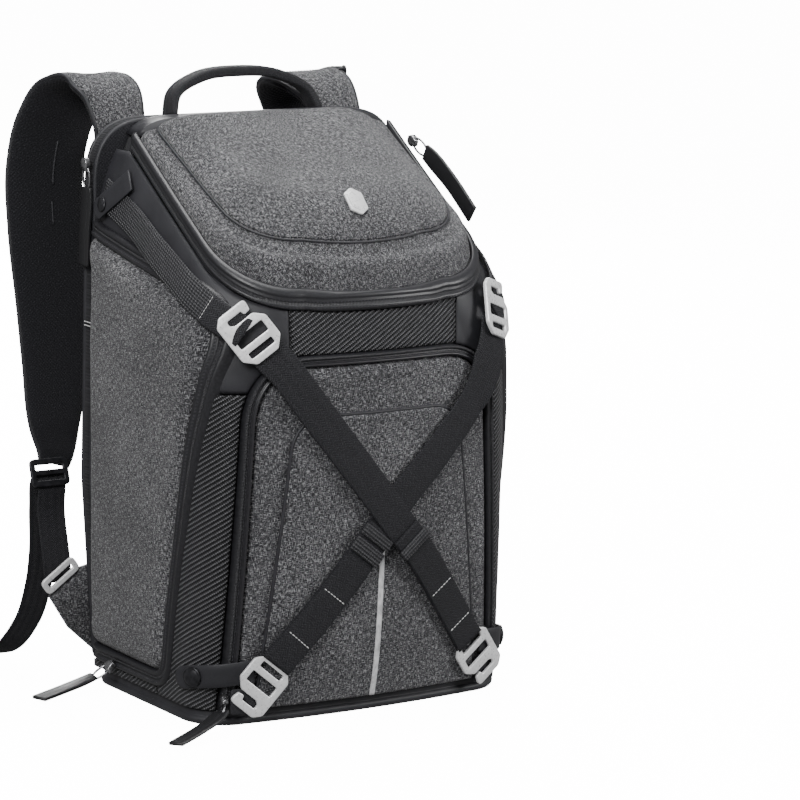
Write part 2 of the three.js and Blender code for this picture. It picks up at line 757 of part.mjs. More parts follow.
const strapPaths = { left: strapPath(leftStrapTable, -1), right: strapPath(rightStrapTable, 1) };

// A flat piece drawn as a shape, laid in a plane: its middle, the directions of the drawing's two axes,
// and how deep.
function plate(shape, thickness, at, alongU, alongV) {
  const extrusion = { depth: thickness, bevelEnabled: false, curveSegments: 2 };
  const geometry = new THREE.ExtrudeGeometry(shape, extrusion);
  const u = alongU.clone().normalize();
  const n = u.clone().cross(alongV).normalize();
  const v = n.clone().cross(u);
  return solidFrom(geometry.applyMatrix4(new THREE.Matrix4().makeBasis(u, v, n).setPosition(at)));
}

const rectangle = (width, height, radius, x = 0, y = 0) =>
  roundedShape([
    [x - width / 2, y - height / 2, radius],
    [x + width / 2, y - height / 2, radius],
    [x + width / 2, y + height / 2, radius],
    [x - width / 2, y + height / 2, radius],
  ]);

// A plate's outline with slots cut in it.
function slotted(outline, slots) {
  outline.holes.push(...slots.map(([width, height, y]) => rectangle(width, height, 0.5, 0, y)));
  return outline;
}

// The webbing of each strap runs from the ring of the wing up to the buckle and down again as a free tail
// to the floor. Each row: how far outside the carcass, how far behind the place it is measured from, and its
// share of the strap foot's height.
const buckleDepth = strapStart + 24;
const wingDepth = backFace + clearance;
const webbingDepth = wingDepth + wingThickness + clearance + webbingThickness / 2;
const webbingTable = [
  { out: 20, from: webbingDepth, back: 0, height: 0.46 },
  { out: 20, from: webbingDepth, back: 2, height: 0.546 },
  { out: 19, from: buckleDepth, back: -8, height: 0.805 },
  { out: 17, from: buckleDepth, back: -4, height: 0.943 },
  { out: 17, from: buckleDepth, back: 1, height: 0.966 },
  { out: 18, from: buckleDepth, back: 5, height: 0.937 },
  { out: 19, from: buckleDepth, back: 7, height: 0.805 },
  { out: 18, from: buckleDepth, back: 9, height: 0.603 },
  { out: 20, from: buckleDepth, back: 14, height: 0.402 },
  { out: 27, from: buckleDepth, back: 22, height: 0.218 },
  { out: 40, from: buckleDepth, back: 32, height: 0.098 },
  { out: 56, from: buckleDepth, back: 42, height: 0.057 },
];
const webbingRows = webbingTable.map(({ out, from, back, height }) => [
  -carcassHalf - out,
  from + back,
  height * strapFoot.z,
  webbingWidth / 2,
  webbingThickness / 2,
]);
const wingTable = [
  { out: -26, height: 0.115, radius: 3 },
  { out: -8, height: 0.126, radius: 3 },
  { out: 14, height: 0.241, radius: 3 },
  { out: 32, height: 0.408, radius: 2 },
  { out: 5, height: 0.529, radius: 2 },
  { out: -26, height: 0.563, radius: 3 },
];
for (const side of [-1, 1]) {
  const label = side < 0 ? "left" : "right";
  const strap = sweep(strapPaths[label], 15, sideways);
  add(`shoulder_strap_${label}`, band(strap, paddedSection), meshBlack);
  const webbing = sweep(mirrorX(webbingRows, side), 20, sideways);
  add(`strap_webbing_${label}`, band(webbing), webbingBlack);
  const corners = wingTable.map(({ out, height, radius }) => [
    side * (carcassHalf + out),
    height * strapFoot.z,
    radius,
  ]);
  add(`wing_tab_${label}`, prismY(roundedShape(corners), wingDepth, wingDepth + wingThickness, 2), heather);
}

// Haul handle: a padded arch standing on the back panel's top edge
const handleFoot = backPanelTop + clearance;
const handleDepth = (sideDoorBack + backFace) / 2;
const handleShares = [
  { out: -1, up: 0, thick: 7 },
  { out: -0.9, up: 0.5, thick: 6 },
  { out: -0.55, up: 0.88, thick: handleThickness / 2 },
  { out: 0, up: 1, thick: handleThickness / 2 },
  { out: 0.55, up: 0.88, thick: handleThickness / 2 },
  { out: 0.9, up: 0.5, thick: 6 },
  { out: 1, up: 0, thick: 7 },
];
const handleRows = handleShares.map(({ out, up, thick }) => [
  (out * handleSpan) / 2,
  handleDepth + up * handleLean,
  handleFoot + up * handleRise,
  handleHalf,
  thick,
]);
const handleWhole = band(sweep(handleRows, 12, point(0, 1, 0)), paddedSection);
const belowHandle = block(-farOut, farOut, -farOut, farOut, -farOut, handleFoot);
add("haul_handle", handleWhole.subtract(belowHandle), webbingBlack);

// Places on the outside of the carcass, by how far round from the middle of the front and how high.
function surfacePoint(around, z, grow, bulges) {
  const side = Math.sign(around) || 1;
  const reach = Math.abs(around);
  let y = -carcassDepth / 2;
  let x = reach;
  for (let i = 0; i < 4; i++) {
    const outline = carcassOutline(z / (rimHeight + rimRise * ramp(y)), grow, bulges);
    const { halfWidth, front, back, frontRadius, backRadius, bow, sideBow } = outline;
    const straight = halfWidth - frontRadius;
    const quarter = ((frontRadius - grow) * Math.PI) / 2;
    const side0 = front + frontRadius;
    if (reach <= straight) {
      x = reach;
      y = front - bow * (1 - (reach / straight) ** 2);
    } else if (reach <= straight + quarter) {
      const angle = (reach - straight) / (frontRadius - grow);
      x = straight + frontRadius * Math.sin(angle);
      y = front + frontRadius * (1 - Math.cos(angle));
    } else {
      const share = (reach - straight - quarter) / (back - backRadius - side0);
      x = halfWidth + sideBow * 4 * share * (1 - share);
      y = side0 + reach - straight - quarter;
    }
  }
  return point(side * x, y, z);
}

// The directions on the surface at a place: round the bag, up, and outwards.
function surfaceFrame(around, z, grow, bulges) {
  const at = surfacePoint(around, z, grow, bulges);
  const step = 1.5;
  const before = surfacePoint(around - step, z, grow, bulges);
  const round = surfacePoint(around + step, z, grow, bulges).sub(before).normalize();
  const below = surfacePoint(around, z - step, grow, bulges);
  const up = surfacePoint(around, z + step, grow, bulges).sub(below).normalize();
  return { at, round, up, out: round.clone().cross(up).normalize() };
}

// Where a row of a table lies: its share of halfGirth round from the middle of the front, its share of the
// rim's height, and how far off the carcass.
const halfGirth = carcassWidth / 2 + carcassDepth;
const placeOf = ({ around, height, off }) => point(around * halfGirth, height * rimHeight, off);

// A strap lying on the surface.
function surfaceStrap(rows, steps, width, thickness, bulges) {
  const path = new THREE.CatmullRomCurve3(rows.map(placeOf), false, "centripetal");
  const lanes = [-1, 0, 1];
  const rings = Array.from({ length: steps + 1 }, (_, i) => {
    const here = path.getPoint(i / steps);
    const along = path.getTangent(i / steps).setZ(0).normalize();
    const lane = (share, lift) => {
      const around = here.x - (along.y * share * width) / 2;
      return surfacePoint(around, here.y + (along.x * share * width) / 2, here.z + lift, bulges);
    };
    const under = lanes.map((share) => lane(share, 0));
    const over = lanes.map((share) => lane(share, thickness));
    return [...under, ...over.toReversed()];
  });
  const solid = loft(rings);
  return solid.volume() > 0 ? solid : loft(rings.map((points) => points.toReversed()));
}

const frontBulges = { frontBulge: frontDoorBulge };
const onPanel = frontDoorThickness + innerPanelOuter + reflectorThickness + 2 * clearance + slack;
const overStrap = onPanel + crossStrapThickness + slack;
const offYoke = sideZipThickness + 4.6;

// Cross straps: the one from the upper left lies over the one from the upper right.
const upperStrapRows = [
  { around: -0.3052, height: 0.9228, off: offYoke - 5.6 },
  { around: -0.2674, height: 0.8724, off: offYoke - 2.6 },
  { around: -0.1744, height: 0.7418, off: onPanel },
  { around: -0.0640, height: 0.5935, off: overStrap },
  { around: 0.0174, height: 0.4866, off: overStrap },
  { around: 0.0988, height: 0.3858, off: overStrap },
  { around: 0.1802, height: 0.2730, off: onPanel },
  { around: 0.2529, height: 0.1662, off: onPanel },
];
const lowerStrapRows = [
  { around: 0.3256, height: 0.9258, off: offYoke - 3.8 },
  { around: 0.3110, height: 0.8605, off: offYoke - 2 },
  { around: 0.2820, height: 0.7774, off: offYoke - 1 },
  { around: 0.1570, height: 0.6350, off: onPanel },
  { around: 0.0552, height: 0.5371, off: onPanel },
  { around: -0.0988, height: 0.3472, off: onPanel },
  { around: -0.1831, height: 0.2433, off: onPanel },
  { around: -0.2500, height: 0.1662, off: onPanel },
];
const onFront = (rows, name) =>
  add(name, surfaceStrap(rows, 15, crossStrapWidth, crossStrapThickness, frontBulges), webbingBlack);
onFront(upperStrapRows, "cross_strap_upper_left");
onFront(lowerStrapRows, "cross_strap_upper_right");

// Hooks: an open frame with two slots for the strap and a hooked bar that catches a loop of webbing
const hookPlate = () => {
  const w = hookWidth / 2;
  const tip = -hookLength * 0.56;
  const head = hookLength * 0.44;
  const bar = 5;
  const outline = new THREE.Shape([
    new THREE.Vector2(-w, -4),
    new THREE.Vector2(-w + 8, -4 - bar),
    new THREE.Vector2(w - bar, -4 - bar),
    new THREE.Vector2(w - bar, tip + bar),
    new THREE.Vector2(-w + 10, tip + bar),
    new THREE.Vector2(-w + 10, tip + bar + 4),
    new THREE.Vector2(-w + 6, tip + bar + 4),
    new THREE.Vector2(-w + 4, tip),
    new THREE.Vector2(w - 3, tip),
    new THREE.Vector2(w, tip + 4),
    new THREE.Vector2(w, head - 8),
    new THREE.Vector2(w - 8, head),
    new THREE.Vector2(-w + 8, head),
    new THREE.Vector2(-w, head - 8),
  ]);
  return slotted(outline, [
    [hookWidth - 10, 7, 1],
    [hookWidth - 16, 4, head - 7],
  ]);
};

// The angle is that at which the strap leaves.
const hookTable = [
  { name: "hook_upper_left", around: -0.3110, height: 0.9318, off: offYoke - 2.9, angle: -54 },
  { name: "hook_upper_right", around: 0.3314, height: 0.9377, off: offYoke - 1.1, angle: -108 },
  { name: "hook_lower_left", around: -0.2936, height: 0.1098, off: onPanel, angle: 50 },
  { name: "hook_lower_right", around: 0.2936, height: 0.1098, off: onPanel, angle: 126 },
];
for (const { name, angle: degrees, ...row } of hookTable) {
  const { x: around, y: z, z: off } = placeOf(row);
  const { at, round, up } = surfaceFrame(around, z, off, frontBulges);
  const angle = THREE.MathUtils.degToRad(degrees - 90);
  const u = round.clone().multiplyScalar(Math.cos(angle)).addScaledVector(up, Math.sin(angle));
  const v = round.clone().multiplyScalar(-Math.sin(angle)).addScaledVector(up, Math.cos(angle));
  add(name, plate(hookPlate(), hookThickness, at, u, v), silver);
}

// Loops of webbing at the foot, in which the lower hooks are caught
const loopDepth = frontZipThickness + 2 * clearance;
const loopAround = (innerPanelFootWidth + loopSize) / 2 - 1;
const loopShape = rectangle(loopSize, loopSize, 2);
for (const side of [-1, 1]) {
  const label = side < 0 ? "left" : "right";
  const { at, round, up } = surfaceFrame(side * loopAround, loopHeight, loopDepth, frontBulges);
  add(`hook_loop_${label}`, plate(loopShape, crossStrapThickness, at, round, up), webbingBlack);
}

// Ladder buckles at the feet of the shoulder straps and rings on the wings, each round its webbing
for (const side of [-1, 1]) {
  const label = side < 0 ? "left" : "right";
  const mirror = (x, y, z) => point(-side * x, y, z);
  const buckle = slotted(rectangle(buckleWidth, buckleHeight, 3), [
    [webbingWidth + 2, buckleSlot, buckleBar],
    [webbingWidth + 2, buckleSlot, -buckleBar],
  ]);
  const buckleMiddle = mirror(
    -strapFoot.x - buckleOffset.out,
    strapFoot.y - buckleOffset.ahead,
    strapFoot.z - buckleOffset.below,
  );
  const buckleUp = point(0, buckleLean, 1);
  add(`ladder_buckle_${label}`, plate(buckle, ringBar, buckleMiddle, sideways, buckleUp), silver);
  const ringShape = slotted(rectangle(ringWidth, ringHeight, 3), [
    [ringWidth - 2 * ringBar, ringHeight / 2, 0],
  ]);
  const ringDepth = wingDepth + (wingThickness - ringBar) / 2;
  const ringMiddle = mirror(-carcassHalf - ringPlace.out, ringDepth, ringPlace.height * strapFoot.z);
  const alongWing = point(1, 0, -side * ringSlope);
  add(`wing_ring_${label}`, plate(ringShape, ringBar, ringMiddle, alongWing, point(0, 0, 1)), silver);
}

// Ribbed webbing across each yoke to the upper hook, the tab that keeps it, and the tab at the foot of
// each corner
const ribbedOff = skinThickness + 1;
const overSideZip = sideZipThickness + 2.6;
const keeperOff = ribbedOff + ribbedThickness + slack;
const cornerTabOff = frontZipThickness + slack + clearance;
const ribbedRows = [
  { around: 0.8663, height: 1.2047, off: ribbedOff },
  { around: 0.8285, height: 1.1929, off: ribbedOff },
  { around: 0.7122, height: 1.1484, off: ribbedOff + 1 },
  { around: 0.6047, height: 1.1039, off: overSideZip },
  { around: 0.4419, height: 1.0208, off: overSideZip },
  { around: 0.3605, height: 0.9644, off: overSideZip },
];
const keeperRows = [
  { around: 0.7442, height: 1.2463, off: keeperOff },
  { around: 0.8023, height: 1.2107, off: keeperOff },
  { around: 0.8808, height: 1.1632, off: keeperOff },
];
const cornerTabRows = [
  { around: 0.3140, height: 0.1365, off: cornerTabOff },
  { around: 0.3721, height: 0.1276, off: cornerTabOff - 1 },
  { around: 0.4215, height: 0.1187, off: cornerStripThickness + 1 },
  { around: 0.4651, height: 0.1098, off: cornerStripThickness + 1 },
];
const snapOn = (name, row, radius, finish) => {
  const place = placeOf(row);
  const { at, round, up, out } = surfaceFrame(place.x, place.y, place.z);
  const rows = [
    [1, 0],
    [1, 0.45],
    [0.75, 0.8],
    [0.3, 0.95],
  ];
  const divisions = 8;
  const rings = rows.map(([share, rise]) =>
    Array.from({ length: divisions }, (_, i) => {
      const angle = (2 * Math.PI * i) / divisions;
      const middle = at.clone().addScaledVector(out, rise * radius * 0.4);
      middle.addScaledVector(round, share * radius * Math.cos(angle));
      return middle.addScaledVector(up, share * radius * Math.sin(angle));
    }),
  );
  add(name, loft(rings), finish);
};
for (const side of [-1, 1]) {
  const label = side < 0 ? "left" : "right";
  const onSide = (rows) => rows.map((row) => ({ ...row, around: side * row.around }));
  const ribbed = surfaceStrap(onSide(ribbedRows), 12, ribbedWidth, ribbedThickness);
  add(`ribbed_webbing_${label}`, ribbed, webbingBlack);
  add(`keeper_tab_${label}`, surfaceStrap(onSide(keeperRows), 5, tabWidth, tabThickness), smoothBlack);
  const keeperSnap = {
    around: side * 0.8517,
    height: 1.1810,
    off: keeperOff + tabThickness + 2 * clearance,
  };
  snapOn(`keeper_snap_${label}`, keeperSnap, keeperSnapRadius, smoothBlack);
  add(`corner_tab_${label}`, surfaceStrap(onSide(cornerTabRows), 7, tabWidth, tabThickness), smoothBlack);
  const cornerSnap = {
    around: side * 0.4273,
    height: 0.1187,
    off: cornerStripThickness + tabThickness + slack + 1,
  };
  snapOn(`corner_snap_${label}`, cornerSnap, domeRadius, smoothBlack);
}

// Plain plate riveted on the lid
const badgeDepth = badgeInset - carcassDepth / 2;
const lidHeightAt = (y) => {
  const sliver = block(-1, 1, y - 0.5, y + 0.5, 0, farOut);
  return lidForm(0, clearance + lidPanelThickness).intersect(sliver).boundingBox().max[2];
};
const badgeUp = point(0, 2, lidHeightAt(badgeDepth + 1) - lidHeightAt(badgeDepth - 1));
const badgeAt = point(0, badgeDepth, lidHeightAt(badgeDepth) + 2 * clearance);
const badgeShape = roundedShape([
  [-badgeBreadth / 2, -badgeLength * 0.3, 1],
  [0, -badgeLength / 2, 1],
  [badgeBreadth / 2, -badgeLength * 0.3, 1],
  [badgeBreadth / 2, badgeLength * 0.3, 1],
  [0, badgeLength / 2, 1],
  [-badgeBreadth / 2, badgeLength * 0.3, 1],
]);
add("badge_plate", plate(badgeShape, badgeThickness, badgeAt, sideways, badgeUp), silver);

// Zip pulls: a slider, its ring and a tab of rubbery webbing, as one body. The numbers at each row are
// half sizes.
const sliderHalf = [4.5, 3];
const ringHalf = [3.5, 1.2];
const pullHalf = [8, 1.5];
const pull = (name, path, breadthAlong) => {
  const sizes = [sliderHalf, sliderHalf, ringHalf, pullHalf, pullHalf, pullHalf];
  const rows = path.map((p, i) => [...p, ...sizes[i]]);
  add(name, band(sweep(rows, 9, breadthAlong)), zipBlack);
};

// Upper side pulls: from the head of each side zip down beside the back panel
const upperPullTable = [
  { out: -1.2, back: 0, drop: 33 },
  { out: -0.8, back: 0, drop: 41 },
  { out: -0.4, back: 0, drop: 51 },
  { out: 0, back: 0, drop: 61 },
  { out: 1.2, back: 1, drop: 88 },
  { out: 1.8, back: 2, drop: 118 },
];
// Lower side pulls: from the foot of each side zip out to the floor
const lowerPullTable = [
  { out: 4, back: 0, height: 24 },
  { out: 6.5, back: 2, height: 21 },
  { out: 15, back: 4, height: 16 },
  { out: 27, back: 5, height: 12 },
  { out: 48, back: 2, height: 8 },
  { out: 72, back: -4, height: 5 },
];
const sideAt = (y, z) =>
  carcassOutline(z / (rimHeight + rimRise * ramp(y)), sideZipThickness).halfWidth;
for (const side of [-1, 1]) {
  const label = side < 0 ? "left" : "right";
  const upper = upperPullTable.map(({ out, back, drop }) => [
    side * (backPanelWidth / 2 + out),
    handleDepth + back,
    backPanelTop - drop,
  ]);
  pull(`side_pull_upper_${label}`, upper, point(0, 1, 0));
  const lowerY = sideDoorBack - lowerPullInset;
  const zipFace = sideAt(lowerY, lowerPullTable[0].height);
  const lower = lowerPullTable.map(({ out, back, height }) => [
    side * (zipFace + out),
    lowerY + back,
    height,
  ]);
  pull(`side_pull_lower_${label}`, lower, point(0, 1, 0));
}

// Front pull: from the foot of the front zip's left run out to the floor
const frontPullRoot = -frontDoorFootWidth / 2 - 6;
const nearZip = (around, z, off) => surfacePoint(around, z, frontZipThickness + off);
const frontPullStart = nearZip(frontPullRoot, 24, 4);
const frontPullTable = [
  { out: 22, ahead: 22, height: 14 },
  { out: 42, ahead: 30, height: 9 },
  { out: 63, ahead: 36, height: 4 },
];
pull(
  "front_pull",
  [
    frontPullStart.toArray(),
    nearZip(frontPullRoot - 1, 20, 7).toArray(),
    nearZip(frontPullRoot - 2, 17, 14).toArray(),
    ...frontPullTable.map(({ out, ahead, height }) => [
      frontPullStart.x - out,
      frontPullStart.y - ahead,
      height,
    ]),
  ],
  point(0.3, 1, 0),
);

// Lid pull: from the right end of the lid's zip down along it. Each row: its share of the way from the front
// of the rim back to the hinge line, how far it lies outside the lid's edge, and how far above the rim.
const lidPullTable = [
  { along: 0.843, out: 9.7, up: 9 },
  { along: 0.802, out: 10.2, up: 11.5 },
  { along: 0.744, out: 10.9, up: 13.5 },
  { along: 0.686, out: 11.4, up: 15 },
  { along: 0.523, out: 12.9, up: 16 },
  { along: 0.337, out: 13.9, up: 13 },
];
const lidEdge = carcassOutline(1, 0).halfWidth;
const lidPullPath = lidPullTable.map(({ along, out, up }) => {
  const y = THREE.MathUtils.lerp(rimFront, lidBack, along);
  return [lidEdge + out, y, rimLevel(y) + up];
});
pull("lid_pull", lidPullPath, point(0, -0.5, 1));

export default group;
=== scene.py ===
"""Looks for a camera backpack, closed and standing on its base: +Z up, the front facing -Y.

Sizes are in millimetres, and knit() turns every mesh into metres.
"""

import math

import bmesh
import bpy
import numpy as np
from mathutils import Matrix, Vector, noise


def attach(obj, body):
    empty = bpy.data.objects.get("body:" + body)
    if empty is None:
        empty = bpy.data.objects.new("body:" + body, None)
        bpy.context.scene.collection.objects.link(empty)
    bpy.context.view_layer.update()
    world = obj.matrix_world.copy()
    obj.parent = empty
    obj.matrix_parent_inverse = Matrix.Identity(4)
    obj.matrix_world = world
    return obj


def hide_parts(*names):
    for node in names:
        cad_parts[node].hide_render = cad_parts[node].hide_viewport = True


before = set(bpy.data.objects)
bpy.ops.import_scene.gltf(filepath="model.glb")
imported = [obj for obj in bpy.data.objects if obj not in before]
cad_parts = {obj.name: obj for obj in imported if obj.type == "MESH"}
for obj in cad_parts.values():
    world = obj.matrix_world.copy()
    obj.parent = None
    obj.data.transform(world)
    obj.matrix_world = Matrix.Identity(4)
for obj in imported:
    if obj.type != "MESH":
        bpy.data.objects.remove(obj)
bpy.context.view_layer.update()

# The camera stands where the photograph's did: a long lens, a little above the bag, off its front left corner.
# The bag stands left of the middle of the picture, and its uprights lean slightly to the right.
AIM = Vector((0.066, -0.040, 0.239))
camera = bpy.data.objects.new("camera", bpy.data.cameras.new("camera"))
bpy.context.scene.collection.objects.link(camera)
bpy.context.scene.camera = camera
camera.data.lens = 171
camera.data.sensor_width = 36
camera.data.clip_start = 0.1
camera.location = (-1.572, -2.617, 0.778)
sight = (AIM - camera.location).to_track_quat("-Z", "Y").to_matrix().to_4x4()
camera.rotation_euler = (sight @ Matrix.Rotation(math.radians(0.8), 4, "Z")).to_euler()

# Base: a moulded tray of smooth black coated cloth over board, with a rolled and piped edge that the bag stands on.
# It is sewn to the foot of the carcass all round, and every panel of the bag follows the carcass's form.
LEVELS = np.array([-0.1, 0.0, 0.12, 0.42, 0.7, 0.84, 0.92, 1.0, 1.12])
FORM = {
    "width": [0.97, 0.98, 0.995, 1.0, 1.0, 0.98, 0.92, 0.82, 0.72],
    "front": [0.87, 0.88, 0.92, 0.975, 0.985, 1.0, 1.01, 1.01, 1.0],
    "back": [0.91, 0.92, 0.98, 1.02, 1.02, 1.01, 1.0, 0.98, 0.96],
    "radius": [0.75, 0.75, 0.9, 1.0, 1.0, 1.08, 1.15, 1.2, 1.2],
    "bow": [0.7, 0.8, 1.0, 1.1, 1.1, 1.1, 1.1, 1.1, 1.1],
    "swell": [0.0, 0.0, 0.6, 1.0, 0.9, 0.5, 0.2, 0.0, 0.0],
}
HALF_WIDTH, HALF_DEPTH, RIM, RIM_RISE = 144, 100, 337, 113
CORNER, BACK_CORNER, BOW = 46, 16, 8
LID_BACK, RAMP_START = 72, -110


def eased(at, places, values):
    """The values at the places, joined by smooth curves and read off at other places."""
    places, values = np.asarray(places, float), np.asarray(values, float)
    slopes = np.gradient(values, places, axis=0)
    low = np.clip(np.searchsorted(places, at) - 1, 0, len(places) - 2)
    step = places[low + 1] - places[low]
    t = (at - places[low]) / step
    if values.ndim > 1:
        t, step = t[:, None], step[:, None]
    start, end = values[low], values[low + 1]
    tangents = slopes[low] * step * t * (1 - t) ** 2 - slopes[low + 1] * step * t**2 * (1 - t)
    return start + (end - start) * t * t * (3 - 2 * t) + tangents


fine_levels = np.linspace(LEVELS[0], LEVELS[-1], 500)
fine_form = {name: eased(fine_levels, LEVELS, shares) for name, shares in FORM.items()}


def rise(y):
    """How far the rim has climbed above its front at a depth."""
    return RIM_RISE * np.clip((y - RAMP_START) / (LID_BACK - RAMP_START), 0, 1) ** 1.08


def section(level, off, front_bulge=0.0, side_bulge=0.0):
    """Sizes of the plan at a level: half width, front, back, the corners' radii, and how far front and sides bow."""
    share = {name: np.interp(level, fine_levels, values) for name, values in fine_form.items()}
    return (
        share["width"] * HALF_WIDTH + off,
        -share["front"] * HALF_DEPTH - off,
        share["back"] * HALF_DEPTH + off,
        np.maximum(share["radius"] * CORNER + off, 2),
        np.maximum(BACK_CORNER + off, 2),
        share["bow"] * BOW + share["swell"] * front_bulge,
        share["swell"] * side_bulge,
    )


def on_skin(around, z, off, front_bulge=0.0, side_bulge=0.0):
    """Places on the bag, by the distance round it from the middle of the front, the height, and how far off it."""
    around, z, off = np.broadcast_arrays(np.asarray(around, float), z, off)
    reach = np.abs(around)
    y = np.full(reach.shape, -float(HALF_DEPTH))
    for _ in range(7):
        half, front, back, radius, back_radius, bow, side_bow = section(
            z / (RIM + rise(y)), off, front_bulge, side_bulge
        )
        straight = half - radius
        quarter = (radius - off) * math.pi / 2
        end = back - back_radius
        turned = np.clip((reach - straight) / (radius - off), 0, math.pi / 2)
        along = np.maximum(reach - straight - quarter, 0)
        share = np.clip(along / (end - front - radius), 0, 1)
        y = np.where(
            reach <= straight,
            front - bow * (1 - (reach / straight) ** 2),
            front + radius * (1 - np.cos(turned)) + along,
        )
        round_corner = straight + radius * np.sin(turned) + side_bow * 4 * share * (1 - share)
        x = np.where(reach <= straight, reach, round_corner)
    return np.stack([np.sign(around + 1e-9) * x, y, z], -1)


def on_front(x, z, off, bulge=0.0):
    """Places on the front of the bag, seen straight from the front."""
    x, z, off = np.broadcast_arrays(np.asarray(x, float), z, off)
    y = np.full(x.shape, -float(HALF_DEPTH))
    for _ in range(7):
        half, front, _, radius, _, bow, _ = section(z / (RIM + rise(y)), off, bulge)
        straight = half - radius
        over = np.clip(np.abs(x) - straight, 0, radius)
        y = np.where(
            np.abs(x) <= straight,
            front - bow * (1 - (x / straight) ** 2),
            front + radius - np.sqrt(radius**2 - over**2),
        )
    return np.stack([x, y, z], -1)


def on_side(side, y, z, off, bulge=0.0):
    """Places on one side of the bag, seen straight from that side."""
    y, z, off = np.broadcast_arrays(np.asarray(y, float), z, off)
    half, front, back, radius, back_radius, _, bow = section(z / (RIM + rise(y)), off, 0.0, bulge)
    start, end = front + radius, back - back_radius
    share = np.clip((y - start) / (end - start), 0, 1)
    x = half + bow * 4 * share * (1 - share)
    front_round = half - radius + np.sqrt(np.maximum(radius**2 - (start - y) ** 2, 0))
    back_round = half - back_radius + np.sqrt(np.maximum(back_radius**2 - (y - end) ** 2, 0))
    x = np.where(y < start, front_round, x)
    x = np.where(y > end, back_round, x)
    return np.stack([side * x, y, z], -1)


def plan(half, front, back, radius, back_radius, bow, counts=(24, 18, 22, 6)):
    """A closed plan outline from the middle of the front, with as many points whatever its sizes."""
    straight = half - radius
    share = np.arange(counts[0]) / counts[0]
    front_run = np.stack([straight * share, front - bow * (1 - share**2)], 1)
    turn = np.linspace(0, math.pi / 2, counts[1] + 1)
    corner = np.stack([straight + radius * np.sin(turn), front + radius * (1 - np.cos(turn))], 1)
    share = np.arange(1, counts[2]) / counts[2]
    side_depths = front + radius + (back - back_radius - front - radius) * share
    side_run = np.stack([np.full(len(share), half), side_depths], 1)
    turn = np.linspace(0, math.pi / 2, counts[3] + 1)
    inwards, backwards = 1 - np.cos(turn), 1 - np.sin(turn)
    back_turn = np.stack([half - back_radius * inwards, back - back_radius * backwards], 1)
    share = np.arange(1, counts[0] + 1) / counts[0]
    back_run = np.stack([(half - back_radius) * (1 - share), np.full(len(share), back)], 1)
    right = np.concatenate([front_run, corner, side_run, back_turn, back_run])
    left = right[1:-1][::-1] * (-1, 1)
    return np.concatenate([right, left])


class Wire:
    """An output in a material's nodes. Arithmetic on it adds Math nodes, and node() adds any other node."""

    def __init__(self, socket):
        self.socket = socket

    def node(self, kind, settings=None, inputs=None, output=0):
        tree = self.socket.id_data
        made = tree.nodes.new("ShaderNode" + kind)
        for name, value in (settings or {}).items():
            if name != "stops":
                setattr(made, name, value)
                continue
            while len(made.color_ramp.elements) < len(value):
                made.color_ramp.elements.new(1)
            for element, (place, grey) in zip(made.color_ramp.elements, value):
                element.position = place
                element.color = (grey, grey, grey, 1) if isinstance(grey, float) else (*grey, 1)
        for name, value in (inputs or {}).items():
            if isinstance(value, Wire):
                tree.links.new(value.socket, made.inputs[name])
            else:
                made.inputs[name].default_value = value
        return Wire(made.outputs[output]) if made.outputs else None

    def math(self, operation, *others):
        return self.node("Math", {"operation": operation}, dict(enumerate((self, *others))))

    def __add__(self, other):
        return self.math("ADD", other)

    def __sub__(self, other):
        return self.math("SUBTRACT", other)

    def __mul__(self, other):
        return self.math("MULTIPLY", other)

    def __truediv__(self, other):
        return self.math("DIVIDE", other)

    def __rsub__(self, other):
        return self.node("Math", {"operation": "SUBTRACT"}, {0: other, 1: self})

    __radd__ = __add__
    __rmul__ = __mul__

    def stretched(self, across, up, offset=0.0):
        """The place on the cloth with its two directions scaled."""
        inputs = {0: self, 1: (across, up, 0), 2: (offset, offset, 0)}
        return self.node("VectorMath", {"operation": "MULTIPLY_ADD"}, inputs)

    def fibres(self, across, up, detail=2.0, seed=0.0):
        """Noise over the cloth, so many to the millimetre in each direction."""
        place = self.stretched(across * 1000, up * 1000, seed)
        inputs = {"Vector": place, "Scale": 1.0, "Detail": detail, "Roughness": 0.6}
        return self.node("TexNoise", {"noise_dimensions": "2D"}, inputs)

    def split(self):
        """The distances across and up the cloth, in millimetres."""
        scaled = self.stretched(1000, 1000)
        return (
            scaled.node("SeparateXYZ", {}, {0: scaled}, 0),
            scaled.node("SeparateXYZ", {}, {0: scaled}, 1),
        )

    def graded(self, stops):
        """A colour ramp, each stop being its place and its grey or colour."""
        return self.node("ValToRGB", {"stops": stops}, {0: self})

    def between(self, low, high):
        """0 below low, 1 above high, smooth between."""
        inputs = {0: self, 1: low, 2: high, 3: 0.0, 4: 1.0}
        return self.node("MapRange", {"interpolation_type": "SMOOTHSTEP"}, inputs)


def new_finish(name, by_cloth=True):
    """A new material and the wire that says where on the cloth, or where in the bag, a point lies."""
    made = bpy.data.materials.new(name)
    made.use_nodes = True
    made.node_tree.nodes.clear()
    kind = "ShaderNodeUVMap" if by_cloth else "ShaderNodeTexCoord"
    source = made.node_tree.nodes.new(kind)
    if by_cloth:
        source.uv_map = "cloth"
        return made, Wire(source.outputs[0])
    return made, Wire(source.outputs["Object"])


def surface(place, colour, roughness, relief, relief_mm, **fixed):
    """Ends a material: its colour, roughness and relief may vary, and the other sockets hold plain values."""
    normal = place.node("Bump", {}, {"Strength": 1.0, "Distance": relief_mm / 1000, "Height": relief})
    inputs = {"Base Color": colour, "Roughness": roughness, "Normal": normal}
    inputs.update({name.replace("_", " "): value for name, value in fixed.items()})
    shader = place.node("BsdfPrincipled", {}, inputs)
    place.node("OutputMaterial", {}, {"Surface": shader})


